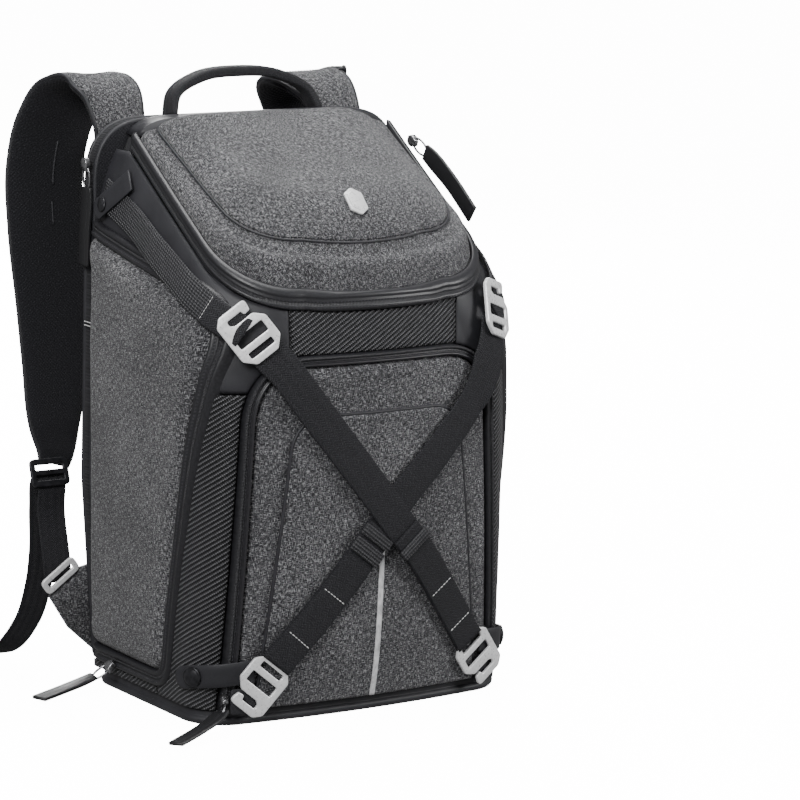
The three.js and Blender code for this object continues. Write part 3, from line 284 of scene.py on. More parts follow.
def knit(name, points, cloth, finish, nodes=(), closed=True, capped=True, thickness=0.0):
    """A mesh from a net of points, rows by columns, with a place on the cloth for each.

    A closed net's columns meet, and its cloth has one column more. A thickness makes a sheet of an open net.
    """
    rows, columns = points.shape[:2]
    reach = columns if closed else columns - 1
    row, column = (a.ravel() for a in np.meshgrid(np.arange(rows - 1), np.arange(reach), indexing="ij"))
    corners = [(row, column), (row + 1, column), (row + 1, column + 1), (row, column + 1)]
    faces = np.stack([r * columns + c % columns for r, c in corners], 1).tolist()
    places = [np.stack([cloth[r, c] for r, c in corners], 1).reshape(-1, 2)]
    if closed and capped:
        for end in (0, rows - 1):
            faces.append([end * columns + c for c in range(columns)])
            places.append(cloth[end, :columns])
    mesh = bpy.data.meshes.new(name)
    mesh.from_pydata((points.reshape(-1, 3) / 1000).tolist(), [], faces)
    layer = mesh.uv_layers.new(name="cloth")
    layer.data.foreach_set("uv", (np.concatenate(places) / 1000).astype(np.float32).ravel())
    return mounted(name, mesh, finish, nodes, thickness)


def mounted(name, mesh, finish, nodes=(), thickness=0.0):
    """Puts a mesh on the bag: its faces turned outwards and smooth, its finish and what it stands for."""
    work = bmesh.new()
    work.from_mesh(mesh)
    bmesh.ops.recalc_face_normals(work, faces=work.faces)
    for face in work.faces:
        face.smooth = True
    work.to_mesh(mesh)
    work.free()
    thing = bpy.data.objects.new(name, mesh)
    bpy.context.scene.collection.objects.link(thing)
    mesh.materials.append(finish)
    if thickness:
        sheet = thing.modifiers.new("sheet", "SOLIDIFY")
        sheet.thickness = thickness / 1000
        sheet.offset = 0
    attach(thing, "root")
    if nodes:
        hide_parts(*nodes)
    return thing


def unit(vectors):
    """Vectors, or one alone, brought to a length of one."""
    return vectors / np.linalg.norm(vectors, axis=-1, keepdims=True)


def length_along(points):
    """The distance to each point along a path."""
    steps = np.linalg.norm(np.diff(points, axis=0), axis=1)
    return np.concatenate([[0], np.cumsum(steps)])


def cloth_of(points, across):
    """Places on a closed net's cloth: its rows by real length, and its columns at the distances given."""
    along = length_along(points.mean(1))
    return np.stack(np.broadcast_arrays(np.asarray(across)[None, :], along[:, None]), -1)


def wrapped(cloth):
    """Places on the cloth of a closed net, with its first column once more at the end."""
    return np.concatenate([cloth, cloth[:, :1]], 1)


smooth_cloth, place = new_finish("smooth coated cloth")
grain = place.fibres(1.6, 1.6, 3.0)
blotch = place.fibres(0.03, 0.03, 2.0, 7.0)
surface(
    place,
    (grain * 0.5 + blotch * 0.5).graded([(0.3, (0.014, 0.014, 0.017)), (0.7, (0.03, 0.03, 0.035))]),
    (grain * 0.3 + 0.36),
    grain,
    0.12,
    Specular_IOR_Level=0.45,
)

TRAY_PROFILE = np.array(
    [(-30, 0.4), (-6, 0.0), (0.4, 0.0), (2.2, 0.6), (3.4, 2.2), (3.7, 4.2), (3.0, 6.0), (1.5, 6.9), (1.1, 7.5)]
    + [(1.3, 9.0), (1.0, 11.0), (0.4, 12.4), (-1.0, 13.0), (-8, 13.2)]
)
rings = []
for out, up in TRAY_PROFILE:
    half, front, back, radius, back_radius, bow, _ = section(0.0, out)
    outline = plan(half, front, back, radius, back_radius, bow)
    rings.append(np.column_stack([outline, np.full(len(outline), up)]))
points = np.array(rings)
girth = length_along(np.concatenate([points[5], points[5][:1]]))
across = length_along(TRAY_PROFILE)
cloth = np.stack(np.broadcast_arrays(girth[None, :], across[:, None]), -1)
knit("base", points, cloth, smooth_cloth, ["base_tray"])

# Carcass: the padded hollow box of black knitted mesh over foam, which every outer panel is sewn to.
# Little of it shows, only in the seams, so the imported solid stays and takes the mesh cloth's finish.
mesh_cloth, place = new_finish("black knitted mesh")
across, up = place.split()
holes = (across * 2.1).math("SINE") * (up * 2.1).math("SINE")
fleck = place.fibres(0.9, 0.9, 3.0)
surface(
    place,
    fleck.graded([(0.35, (0.006, 0.006, 0.008)), (0.62, (0.016, 0.016, 0.019)), (0.8, (0.05, 0.05, 0.055))]),
    0.9,
    holes * 0.6 + fleck,
    0.35,
    Sheen_Weight=0.1,
    Specular_IOR_Level=0.2,
)
dark_lining, place = new_finish("carcass mesh", by_cloth=False)
speck = place.node("TexNoise", {}, {"Scale": 900.0, "Detail": 2.0})
surface(
    place, speck.graded([(0.3, (0.008, 0.008, 0.01)), (0.7, (0.02, 0.02, 0.023))]), 0.9, speck, 0.3
)
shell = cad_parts["carcass_shell"]
shell.data.materials.clear()
shell.data.materials.append(dark_lining)

# Side doors: padded panels of grey heather cloth, crowned over their foam, sewn to the inner tape of the zip.
# The cloth puckers a little along the zip and lies in soft waves down the middle.
heather, place = new_finish("grey heather cloth")
warp = place.fibres(2.3, 0.26, 2.0)
weft = place.fibres(0.28, 2.3, 2.0, 31.0)
fuzz = place.fibres(0.8, 0.8, 3.0, 11.0)
tone = place.fibres(0.012, 0.012, 2.0, 5.0)
mix = warp.math("MAXIMUM", weft) * 0.72 + warp.math("MINIMUM", weft) * 0.1 + fuzz * 0.12 + tone * 0.06
across, up = place.split()
threads = (across * 7.4).math("SINE") * (up * 7.4).math("SINE")
surface(
    place,
    mix.graded(
        [
            (0.46, (0.009, 0.009, 0.011)),
            (0.53, (0.040, 0.040, 0.044)),
            (0.58, (0.095, 0.095, 0.101)),
            (0.66, (0.42, 0.42, 0.43)),
        ]
    ),
    0.92,
    threads * 0.12 + mix * 2.4,
    0.35,
    Sheen_Weight=0.15,
    Specular_IOR_Level=0.2,
)


def bend(corners, steps=12):
    """A polygon with its corners rounded off, each corner being (first, second, radius)."""
    corners = [np.array(c, float) for c in corners]
    made = []
    for i, corner in enumerate(corners):
        here, radius = corner[:2], corner[2]
        before, after = corners[i - 1][:2] - here, corners[(i + 1) % len(corners)][:2] - here
        long_before, long_after = np.linalg.norm(before), np.linalg.norm(after)
        before, after = before / long_before, after / long_after
        half = math.acos(np.clip(before @ after, -1, 1)) / 2
        reach = min(radius, 0.49 * min(long_before, long_after) * math.tan(half)) / math.tan(half)
        t = np.linspace(0, 1, steps)[:, None]
        start, end = here + before * reach, here + after * reach
        made.append((1 - t) ** 2 * start + 2 * t * (1 - t) * here + t**2 * end)
    return np.concatenate(made)


def respaced(points, count, closed=False):
    """A path's points, spaced evenly along it."""
    path = np.concatenate([points, points[:1]]) if closed else points
    along = length_along(path)
    at = np.linspace(0, along[-1], count, endpoint=not closed)
    return np.stack([np.interp(at, along, path[:, i]) for i in range(path.shape[1])], 1)


def heading(path, closed=False):
    """The directions along a path, at each of its points."""
    return unit(np.roll(path, -1, 0) - np.roll(path, 1, 0) if closed else np.gradient(path, axis=0))


def sides_of(path, closed=False):
    """The directions out of a plane path, to the right as one goes along it."""
    ahead = heading(path, closed)
    return np.stack([ahead[:, 1], -ahead[:, 0]], 1)


def crowned(distance, width, height):
    """How high a padded panel stands at a distance from its edge."""
    return height * np.sqrt(np.maximum(1 - (1 - np.clip(distance / width, 0, 1)) ** 2, 0))


def waves(points, size, seed):
    """Soft unevenness of cloth at each point, between -1 and 1, with waves of about the size given."""
    flat = points.reshape(-1, 3) / size
    values = [noise.noise(Vector((p[0] + seed, p[1], p[2]))) for p in flat.tolist()]
    return np.array(values).reshape(points.shape[:-1])


RING_SHARES = np.concatenate([np.linspace(0.02, 0.8, 20), 1 - 0.2 * (1 - np.linspace(0.08, 1, 16)) ** 1.6])


def padded_panel(name, outline, centre, place_on, edge, height, finish, nodes, ripple=0.5, base=0.3):
    """A crowned panel with the outline given, in the two directions that place_on reads, as one closed body."""
    outline = respaced(outline, 240, closed=True)
    out = sides_of(outline, closed=True)
    spokes = outline - centre
    fronts, cloths = [], []
    for share in RING_SHARES:
        flat = centre + spokes * share
        distance = (1 - share) * np.abs((spokes * out).sum(1))
        lift = crowned(distance, edge, height)
        wave = waves(np.column_stack([flat, np.zeros(len(flat))]), 38, len(name)) * ripple
        fine = waves(np.column_stack([flat, np.zeros(len(flat))]), 11, 40 + len(name)) * ripple * 0.4
        fade = np.clip(distance / edge, 0, 1)
        fronts.append(place_on(flat[:, 0], flat[:, 1], base + lift + (wave + fine) * fade))
        cloths.append(flat)
    for share in (0.97, 0.5, 0.02):
        flat = centre + spokes * share
        fronts.append(place_on(flat[:, 0], flat[:, 1], base))
        cloths.append(flat)
    return knit(name, np.array(fronts), wrapped(np.array(cloths)), finish, nodes)


DOOR_BACK = 94
SIDE_DOOR = [(DOOR_BACK, 34, 1), (-27, 34, 16), (-86, 331, 42), (DOOR_BACK, 371, 1)]
for side, label in ((-1, "left"), (1, "right")):
    panel = padded_panel(
        f"side_door_cloth_{label}",
        bend(SIDE_DOOR),
        centre=np.array([28.0, 190.0]),
        place_on=lambda y, z, off: on_side(side, y, z, off, 4),
        edge=15,
        height=8,
        finish=heather,
        nodes=[f"side_door_{label}"],
        ripple=0.9,
    )

# Side zips: a coated coil zip between two rolls of piping, sewn over, in front of and under each side door.
# It starts and ends at the back panel, and is bent round the door's corners.
zip_tape, place = new_finish("coated zip")
across, up = place.split()
coil = 1 - (across - 7.2).math("ABSOLUTE").between(0.7, 1.5)
teeth = (up * 5.2).math("SINE") * coil
seam = 1 - ((across - 7.2).math("ABSOLUTE") - 2.6).math("ABSOLUTE").between(0.25, 0.6)
dashes = (up * 2.2).math("SINE").between(-0.2, 0.3) * seam
grain = place.fibres(1.4, 0.5, 2.0)
surface(
    place,
    (teeth * 0.35 + dashes * 0.3 + grain * 0.6).graded(
        [(0.2, (0.012, 0.012, 0.014)), (0.6, (0.028, 0.028, 0.033)), (0.95, (0.07, 0.07, 0.078))]
    ),
    0.34 + grain * 0.12 + coil * 0.12,
    teeth * 0.5 + grain * 0.15 - dashes * 0.4,
    0.4,
    Specular_IOR_Level=0.5,
)
ZIP_PROFILE = np.array(
    [(0.3, 0.3), (0.3, 4.0), (1.0, 6.0), (2.2, 7.3), (3.6, 7.5), (4.8, 6.7), (5.3, 5.7), (6.2, 5.5), (6.5, 5.9)]
    + [(7.2, 6.1), (7.9, 5.9), (8.2, 5.5), (9.1, 5.7), (9.6, 6.7), (10.8, 7.5), (12.2, 7.2), (13.2, 5.9), (13.9, 4.0)]
    + [(14.0, 1.0), (13.8, 0.3)]
)


def edging(name, path, profile, place_on, finish, nodes, limit=None):
    """A band that follows an outline on the bag. Its profile is how far outside the outline, and how far off."""
    out = sides_of(path)
    flats = path[:, None, :] + out[:, None, :] * profile[None, :, :1]
    if limit is not None:
        flats[..., 0] = np.minimum(flats[..., 0], limit)
    points = place_on(flats[..., 0], flats[..., 1], profile[None, :, 1])
    distances = np.append(profile[:, 0], profile[0, 0])
    return knit(name, points, cloth_of(points, distances), finish, nodes)


def opened(outline, corner):
    """A closed outline turned so that it starts just past one of its corners."""
    start = np.argmin(np.abs(outline - corner[:2]).sum(1))
    return np.roll(outline, -start - 6, axis=0)


for side, label in ((-1, "left"), (1, "right")):
    outline = opened(bend(SIDE_DOOR), SIDE_DOOR[0])
    last = np.argmax(outline[:, 1] + outline[:, 0] * 0.2)
    path = respaced(outline[: last + 1], 420)[::-1]
    edging(
        f"side_zip_band_{label}",
        path,
        ZIP_PROFILE,
        lambda y, z, off: on_side(side, y, z, off),
        zip_tape,
        [f"side_zip_{label}"],
        limit=DOOR_BACK,
    )

# Front door: a padded panel of the same heather cloth, sewn into the front zip, broader at its foot.
# The inner panel is a second layer top-stitched on it, and a narrow reflective strip runs up its middle.
FRONT_DOOR = [(119, 14, 1), (105, 286, 46), (-105, 286, 46), (-119, 14, 1)]
INNER_PANEL = [(103, 14, 1), (75, 247, 32), (-75, 247, 32), (-103, 14, 1)]
FRONT_BULGE = 4


def on_door(x, z, off):
    """Places on the front door, which swells a little more than the bag behind it."""
    return on_front(x, z, off, FRONT_BULGE)


panel = padded_panel(
    "front_door_cloth",
    bend(FRONT_DOOR),
    centre=np.array([0.0, 150.0]),
    place_on=on_door,
    edge=9,
    height=6.5,
    finish=heather,
    nodes=["front_door"],
    ripple=0.25,
)
panel = padded_panel(
    "inner_panel_cloth",
    bend(INNER_PANEL),
    centre=np.array([0.0, 130.0]),
    place_on=on_door,
    edge=2.2,
    height=3,
    finish=heather,
    nodes=["front_inner_panel"],
    ripple=0.2,
    base=7.3,
)


def tube(name, path, radius, finish, nodes=(), closed=False, around=10):
    """A round rod or piping along a path."""
    path = np.asarray(path, float)
    ahead = heading(path, closed)
    side = unit(np.cross(ahead, (0.13, 0.31, 0.94)))
    up = np.cross(side, ahead)
    turn = np.arange(around) / around * 2 * math.pi
    rings = np.cos(turn)[None, :, None] * side[:, None] + np.sin(turn)[None, :, None] * up[:, None]
    points = path[:, None] + radius * rings
    if closed:
        points = np.concatenate([points, points[:1]])
    cloth = cloth_of(points, np.arange(around + 1) / around * 2 * math.pi * radius)
    return knit(name, points, cloth, finish, nodes, capped=not closed)


# A dark piping tube round the inner panel's edge: partly its real piping, partly painted seam shade that stands in for
# the shade of the step between the panel and the door.
PIPING_FOOT = 15.5
line = respaced(bend(INNER_PANEL, 30), 900, closed=True)
line = line + sides_of(line, closed=True) * 0.7
line = np.roll(line, -np.argmax(line[:, 1] <= PIPING_FOOT), axis=0)
line = line[line[:, 1] > PIPING_FOOT]
seam = on_door(line[:, 0], line[:, 1], 7.9)
tube("inner_panel_piping_and_painted_seam_shade", respaced(seam, 260), 1.4, smooth_cloth)

# Front zip: the same coated zip as the side zips, narrower, up the left of the front door, over it and down.
path = opened(bend(FRONT_DOOR), FRONT_DOOR[0])
path = respaced(path[: len(path) - 12], 460)
front_profile = ZIP_PROFILE * (9 / 14, 8 / 7.5)
edging("front_zip_band", path, front_profile, on_front, zip_tape, ["front_zip"])


def laid(name, places, lifts, place_on, finish, nodes=(), under=0.3, cloth=None):
    """A flat piece laid on the bag: rows of places, how far off the bag its face stands, and its underside.

    Its cloth lies as its places do, unless it is given, as for a strap that turns.
    """
    back = places[:, ::-1]
    below = np.broadcast_to(under, lifts.shape)[:, ::-1]
    outer = place_on(places[..., 0], places[..., 1], lifts)
    inner = place_on(back[:, 1:-1, 0], back[:, 1:-1, 1], below[:, 1:-1])
    if cloth is None:
        cloth = np.concatenate([places, back[:, 1:-1], places[:, :1]], 1)
    return knit(name, np.concatenate([outer, inner], 1), cloth, finish, nodes)


# Reflective tape: a narrow strip of glass-bead tape that is sewn up the middle of the inner panel.
# It starts at the base and ends where the straps cross.
reflective, place = new_finish("reflective tape")
across, up = place.split()
beads = (across * 9).math("SINE") * (up * 9).math("SINE")
wear = place.fibres(0.25, 0.12, 3.0, 3.0)
surface(
    place,
    wear.graded([(0.3, (0.42, 0.42, 0.43)), (0.6, (0.72, 0.72, 0.73))]),
    0.38 + wear * 0.1,
    beads,
    0.06,
    Specular_IOR_Level=0.6,
)
TAPE_SECTION = np.array([(-2.5, 10.7), (-2.3, 11.0), (-1.2, 11.2), (0, 11.2), (1.2, 11.2), (2.3, 11.0), (2.5, 10.7)])
z = np.linspace(15, 150, 60)
places = np.dstack(np.broadcast_arrays(TAPE_SECTION[:, 0], z[:, None]))
lifts = np.broadcast_to(TAPE_SECTION[:, 1], places.shape[:2])
laid("reflective_tape", places, lifts, on_door, reflective, ["reflective_strip"], 10.6)

# Corner strips and the band under the lid: coated cloth embossed with fine slanting cords, as on a carbon twill, with
# painted shade and highlights on the cords.
# The yokes above them and beside the band are plain smooth coated cloth.
twill, place = new_finish("embossed twill with painted rib shade")
across, up = place.split()
slant = up * 0.9 - across * 0.62
cord = (slant * 1.75).math("SINE")
tooth = ((across * 0.9 + up * 0.62) * 3.4).math("SINE")
grain = place.fibres(1.2, 1.2, 2.0)
# The cords and teeth run into the colour too: painted shade in the grooves and painted highlights on the crests of the
# ribs.
surface(
    place,
    (cord * 0.26 + tooth * 0.12 + grain * 0.5).graded(
        [(0.06, (0.004, 0.004, 0.005)), (0.30, (0.022, 0.022, 0.025)), (0.56, (0.17, 0.17, 0.18))]
    ),
    0.40 - cord * 0.08 + grain * 0.1,
    cord * 0.5 + tooth * 0.25 + grain * 0.1,
    1.5,
    Specular_IOR_Level=0.55,
)


def around_of(x, z, off=0.0):
    """How far round the bag a place on its front corner lies, from its place across."""
    half, front, _, radius, _, _, _ = section(z / (RIM + rise(-85.0)), off)
    straight = half - radius
    turned = np.arcsin(np.clip((np.abs(x) - straight) / radius, 0, 1))
    return np.where(np.abs(x) < straight, np.abs(x), straight + (radius - off) * turned)


def around_of_depth(y, z, off=0.0):
    """How far round the bag a place on its side lies, from its depth."""
    half, front, _, radius, _, _, _ = section(z / (RIM + rise(y)), off)
    straight, quarter = half - radius, (radius - off) * math.pi / 2
    turned = np.arccos(np.clip(1 - (y - front) / radius, -1, 1))
    return np.where(y < front + radius, straight + (radius - off) * turned, straight + quarter + y - front - radius)


def outer_line(corners, grow, pick):
    """The part of a grown outline that pick keeps, as (first, second) rows sorted by the second."""
    line = bend(corners, 40)
    line = line + sides_of(line, closed=True) * grow
    line = respaced(line, 4000, closed=True)
    line = line[pick(line)]
    return line[np.argsort(line[:, 1])]


FRONT_ZIP_EDGE, SIDE_ZIP_EDGE = 9.4, 14.4
STRIP_FOOT, STRIP_HEAD = 13.4, 266.5
zip_front = outer_line(FRONT_DOOR, FRONT_ZIP_EDGE, lambda p: (p[:, 0] > 60) & (p[:, 1] < 292))
zip_side = outer_line(SIDE_DOOR, SIDE_ZIP_EDGE, lambda p: (p[:, 0] < -9) & (p[:, 1] < 330))
z = np.linspace(STRIP_FOOT, STRIP_HEAD, 90)
front_edge = around_of(np.interp(z, zip_front[:, 1], zip_front[:, 0]), z)
side_edge = around_of_depth(np.interp(z, zip_side[:, 1], zip_side[:, 0]), z)
share = np.linspace(0, 1, 26)
around = front_edge[:, None] + (side_edge - front_edge)[:, None] * share
places = np.dstack(np.broadcast_arrays(around, z[:, None]))
rounded = 1 - np.abs(2 * share - 1) ** 14 * 0.25
lifts = 4.3 * rounded + waves(np.dstack([places, np.zeros(around.shape)]), 30, 3) * 0.3
z = np.linspace(STRIP_FOOT, STRIP_FOOT + 6, 6)
foot_share = np.linspace(0, 1, 40)
start, end = side_edge[0] + 0.3, around_of_depth(93.0, 16.0)
foot_places = np.dstack(np.broadcast_arrays(start + (end - start) * foot_share, z[:, None]))
foot_lifts = np.broadcast_to(3.9 + 0.5 * np.sin(foot_share * 200), foot_places.shape[:2])
for side, label in ((-1, "left"), (1, "right")):
    flip = np.array([side, 1])
    nodes = [f"corner_strip_{label}"]
    laid(f"corner_strip_cloth_{label}", places * flip, lifts, on_skin, twill, nodes)
    laid(f"foot_strip_{label}", foot_places * flip, foot_lifts, on_skin, twill)


def patch(name, side, low, high, start, end, thick, finish, nodes, rows=40, columns=30):
    """A patch of cloth on the bag, from one distance round it to another, between a lower and an upper edge."""
    share = np.linspace(0, 1, rows)[:, None]
    along = np.linspace(0, 1, columns)[None, :]
    around = np.broadcast_to(start + (end - start) * along, (rows, columns))
    bottom, top = low(around), high(around)
    z = bottom + (top - bottom) * share
    puffs = waves(np.dstack([around, z, np.zeros(z.shape)]), 34, len(name)) * 0.35
    thinned = (1 - np.abs(2 * share - 1) ** 16 * 0.3) * (1 - np.abs(2 * along - 1) ** 16 * 0.3)
    lifts = thick * thinned + puffs
    return laid(name, np.stack([around * side, z], -1), lifts, on_skin, finish, nodes)


def rim_at(around, drop):
    """The height of the lid zip's lower edge at places round the bag, less a drop."""
    z = np.full(np.shape(around), float(RIM))
    for _ in range(8):
        z = RIM + rise(on_skin(around, z, 0.0)[..., 1]) - drop
    return z


side_top = outer_line(SIDE_DOOR, SIDE_ZIP_EDGE, lambda p: (p[:, 1] > 262) & (p[:, 0] < 93))
side_top = side_top[np.argsort(side_top[:, 0])]
YOKE_FOOT = 267.4


def yoke_foot(around):
    """The lower edge of a yoke: over the ribbed strip, then along the side zip's outer edge."""
    foot = np.full(np.shape(around), YOKE_FOOT)
    for _ in range(6):
        y = on_skin(np.asarray(around, float), foot, 0.0)[..., 1]
        over_zip = np.interp(y, side_top[:, 0], side_top[:, 1], left=YOKE_FOOT)
        foot = np.maximum(YOKE_FOOT, over_zip)
    return foot


door_top = outer_line(FRONT_DOOR, FRONT_ZIP_EDGE, lambda p: (p[:, 1] > 255) & (p[:, 0] > 0))
door_top = door_top[np.argsort(door_top[:, 0])]


def yoke_head(around):
    """The upper edge of a yoke, just under the lid's zip."""
    return rim_at(around, 9.6)


def yoke_low(around):
    """The whole lower edge of a yoke: over the front door's zip as well."""
    over_door = np.interp(around, door_top[:, 0], door_top[:, 1])
    return np.where(around < front_start, over_door, yoke_foot(around))


front_start = float(around_of(np.interp(YOKE_FOOT, zip_front[:, 1], zip_front[:, 0]), YOKE_FOOT))
BAND_END, BAND_FOOT = 77.0, 295.6
for side, label in ((-1, "left"), (1, "right")):
    patch(
        f"yoke_cloth_{label}",
        side,
        yoke_low,
        yoke_head,
        start=BAND_END + 0.5,
        end=322.0,
        thick=3,
        finish=smooth_cloth,
        nodes=[f"yoke_{label}"],
        rows=24,
        columns=150,
    )
patch(
    "front_band_cloth",
    1,
    lambda around: np.full(around.shape, BAND_FOOT),
    yoke_head,
    start=-BAND_END,
    end=BAND_END,
    thick=3,
    finish=twill,
    nodes=["front_band"],
    rows=20,
    columns=50,
)

# Lid: a domed flap of heather cloth over foam, highest near its front and sloping back to its hinge.
# A second panel is top-stitched on it, a little in from its edge.
LID_ROWS = np.array([(0.0, 0.02), (0.02, 0.13), (0.27, 0.48), (0.5, 0.7), (0.85, 0.93), (1.5, 1.02)])
LID_SHOULDER, LID_CROWN, LID_CROWN_BACK = 44, 60, 17
LID_FLAT, LID_MIDDLE = 66, 115
lid_steps = np.linspace(0, 1.5, 200)
lid_heights = eased(lid_steps, LID_ROWS[:, 0], LID_ROWS[:, 1])


def lid_outline(inset):
    """The lid's plan, a distance in from its edge."""
    half, front, _, radius, _, bow, _ = section(1.0, 0.0)
    radius = max(radius - inset * 0.6, 8)
    return plan(half - inset, front + inset, LID_BACK - inset * 0.06, radius, 8, bow)


def lid_ring(inset, raised):
    """The lid's outline at an inset, at the lid's height there. The last insets shrink towards its middle."""
    outline = lid_outline(min(inset, LID_FLAT))
    if inset > LID_FLAT:
        centre = np.array([0, (outline[:, 1].min() + outline[:, 1].max()) / 2])
        outline = centre + (outline - centre) * (1 - (inset - LID_FLAT) / 50)
    along = np.clip((outline[:, 1] + HALF_DEPTH) / (LID_BACK + HALF_DEPTH), 0, 1)
    crown = LID_CROWN + (LID_CROWN_BACK - LID_CROWN) * along
    share = np.interp(inset / LID_SHOULDER, lid_steps, lid_heights)
    z = RIM + rise(outline[:, 1]) + crown * share + raised
    return np.column_stack([outline, z])


def domed(name, insets, raises, under, finish, nodes, ripple):
    """A piece of the lid: rings from its middle out to its edge, and its underside."""
    points = np.array([lid_ring(inset, raised) for inset, raised in zip(insets, raises)])
    fade = np.clip((insets - insets[-1]) / 14, 0, 1)[:, None]
    points[..., 2] += waves(points, 42, len(name)) * ripple * fade
    below = np.array([lid_ring(inset, under) for inset in (insets[-1] + 0.5, 60, LID_MIDDLE)])
    points = np.concatenate([points, below])
    steps = np.linalg.norm(np.diff(points, axis=0), axis=2)
    reach = np.concatenate([np.zeros((1, points.shape[1])), np.cumsum(steps, 0)])
    away = points[len(insets) - 1, :, :2] - points[0, :, :2].mean(0)
    return knit(name, points, wrapped(reach[..., None] * unit(away)), finish, nodes)


middle_insets = np.linspace(LID_MIDDLE, LID_FLAT, 12)
insets = np.concatenate([middle_insets, np.linspace(63, 20, 26), np.linspace(19, 0, 24)])
raises = -1.1 * np.exp(-(((insets - 15.4) / 1.3) ** 2))
panel = domed("lid_cloth", insets, raises, -7, heather, ["lid_shell"], 0.8)
PANEL_INSET = 17
panel_edge = PANEL_INSET + 5 * np.linspace(1, 0, 10)[1:] ** 1.6
insets = np.concatenate([middle_insets, np.linspace(63, 22, 28), panel_edge])
raises = 0.4 + crowned(insets - PANEL_INSET, 4, 2.3)
panel = domed("lid_panel_cloth", insets, raises, 0.3, heather, ["lid_panel"], 0.8)
# A dark piping tube round the lid panel's edge: partly its real piping, partly painted seam shade where the panel meets
# the lid.
seam = lid_ring(16.2, 0.1)
tube("lid_panel_piping_and_painted_seam_shade", respaced(seam, 300, closed=True), 1.0, smooth_cloth, closed=True)

# Hinge gusset: a strip of smooth coated cloth that joins the lid's back edge to the back panel.
# It is the lid's hinge, so it dips a little between its two seams and rounds off at its ends.
GUSSET_UNDER = 450.6
x = np.linspace(-116, 116, 40)
edge = 1 - np.abs(x / 117) ** 10
gusset_rows = []
for y in np.linspace(72.4, 93.6, 10):
    dip = 1.2 * np.sin((y - 72) / 22 * math.pi)
    upper = np.column_stack([x, np.full(len(x), y), 452 + 14.5 * edge - dip])
    lower = np.column_stack([x[::-1], np.full(len(x), y), np.full(len(x), GUSSET_UNDER)])
    gusset_rows.append(np.concatenate([upper, lower[1:-1]]))
points = np.array(gusset_rows)
knit("hinge_gusset_cloth", points, wrapped(points[..., :2]), smooth_cloth, ["hinge_gusset"])

# Lid zip: the widest of the zips, a rolled band round the front and sides of the rim, from hinge to hinge.
# It has the same coated tape and coil as the others, and its foot rests on the yokes and the band.
LID_ZIP_PROFILE = np.array(
    [(0.2, -8.0), (3.2, -8.2), (5.2, -7.4), (6.4, -5.8), (6.6, -4.2), (5.9, -3.0), (5.5, -2.6), (5.6, -1.6), (5.3, -1.2)]
    + [(5.8, -0.6), (5.9, 0.3), (5.5, 0.9), (5.6, 1.6), (5.2, 2.2), (5.6, 2.8), (5.6, 4.2), (4.8, 5.8), (3.4, 6.8)]
    + [(1.8, 7.2), (0.5, 6.9)]
)
ZIP_COUNTS = (40, 30, 60, 6)
half, front, _, radius, _, bow, _ = section(1.0, 0.0)
columns = []
for out, up in LID_ZIP_PROFILE:
    whole = plan(half + out, front - out, LID_BACK + 8, radius + out * 0.6, 8, bow, ZIP_COUNTS)
    right = whole[: sum(ZIP_COUNTS[:3])]
    line = np.concatenate([right[::-1] * (-1, 1), right[1:]])
    line[:, 1] = np.minimum(line[:, 1], LID_BACK)
    columns.append(np.column_stack([line, RIM + rise(line[:, 1]) + up]))
points = np.stack(columns, 1)
across = length_along(np.concatenate([LID_ZIP_PROFILE, LID_ZIP_PROFILE[:1]])) - 3.6
knit("lid_zip_band", points, cloth_of(points, across), zip_tape, ["lid_zip"])

# Back panel: black air mesh over foam, bound at its edges with smooth tape, which stands above the lid's hinge.
# Two cushions lie on it, and the shoulder straps and wings are sewn to it.
BACK_PANEL = [(-136, 13.4, 10), (-146, 168, 200), (-142, 463, 48), (142, 463, 48), (146, 168, 200), (136, 13.4, 10)]
BACK_RINGS = [(40, 94.4), (0.6, 94.4), (0, 95.5), (0, 110), (0.5, 111.6), (2, 112.7), (9, 113), (16, 112.4)]
BACK_RINGS += [(40, 112.8)]
BINDINGS = (("binding_back", 110.5), ("binding_front", 96.5))
outline = respaced(bend(BACK_PANEL, 24), 360, closed=True)
centre = np.array([0, 240])
spokes = outline - centre
length = np.linalg.norm(spokes, axis=1, keepdims=True)


def upright(flat, depth):
    """A flat line stood up in a plane behind the bag."""
    return np.column_stack([flat[:, 0], np.full(len(flat), depth), flat[:, 1]])


points = np.array([upright(centre + spokes * (1 - inset / length), depth) for inset, depth in BACK_RINGS])
panel = knit("back_panel_mesh", points, wrapped(points[..., ::2]), mesh_cloth, ["back_panel"])
outline = respaced(bend(BACK_PANEL, 24), 300, closed=True)
line = outline + sides_of(outline, closed=True) * 0.6
for name, depth in BINDINGS:
    tube(name, upright(line, depth), 2.2, smooth_cloth, closed=True)


PUFF_FRAMES = 20
CUSHION_BLOCK = [(0.3, 0), (0.97, 0), (1, 0.25), (1, 0.7), (0.96, 1), (0.3, 1)]


def settle(piece):
    """Applies a piece's modifiers to its mesh."""
    graph = bpy.context.evaluated_depsgraph_get()
    graph.update()
    mesh = bpy.data.meshes.new_from_object(piece.evaluated_get(graph))
    materials = list(piece.data.materials)
    piece.modifiers.clear()
    piece.data = mesh
    mesh.materials.clear()
    for material in materials:
        mesh.materials.append(material)


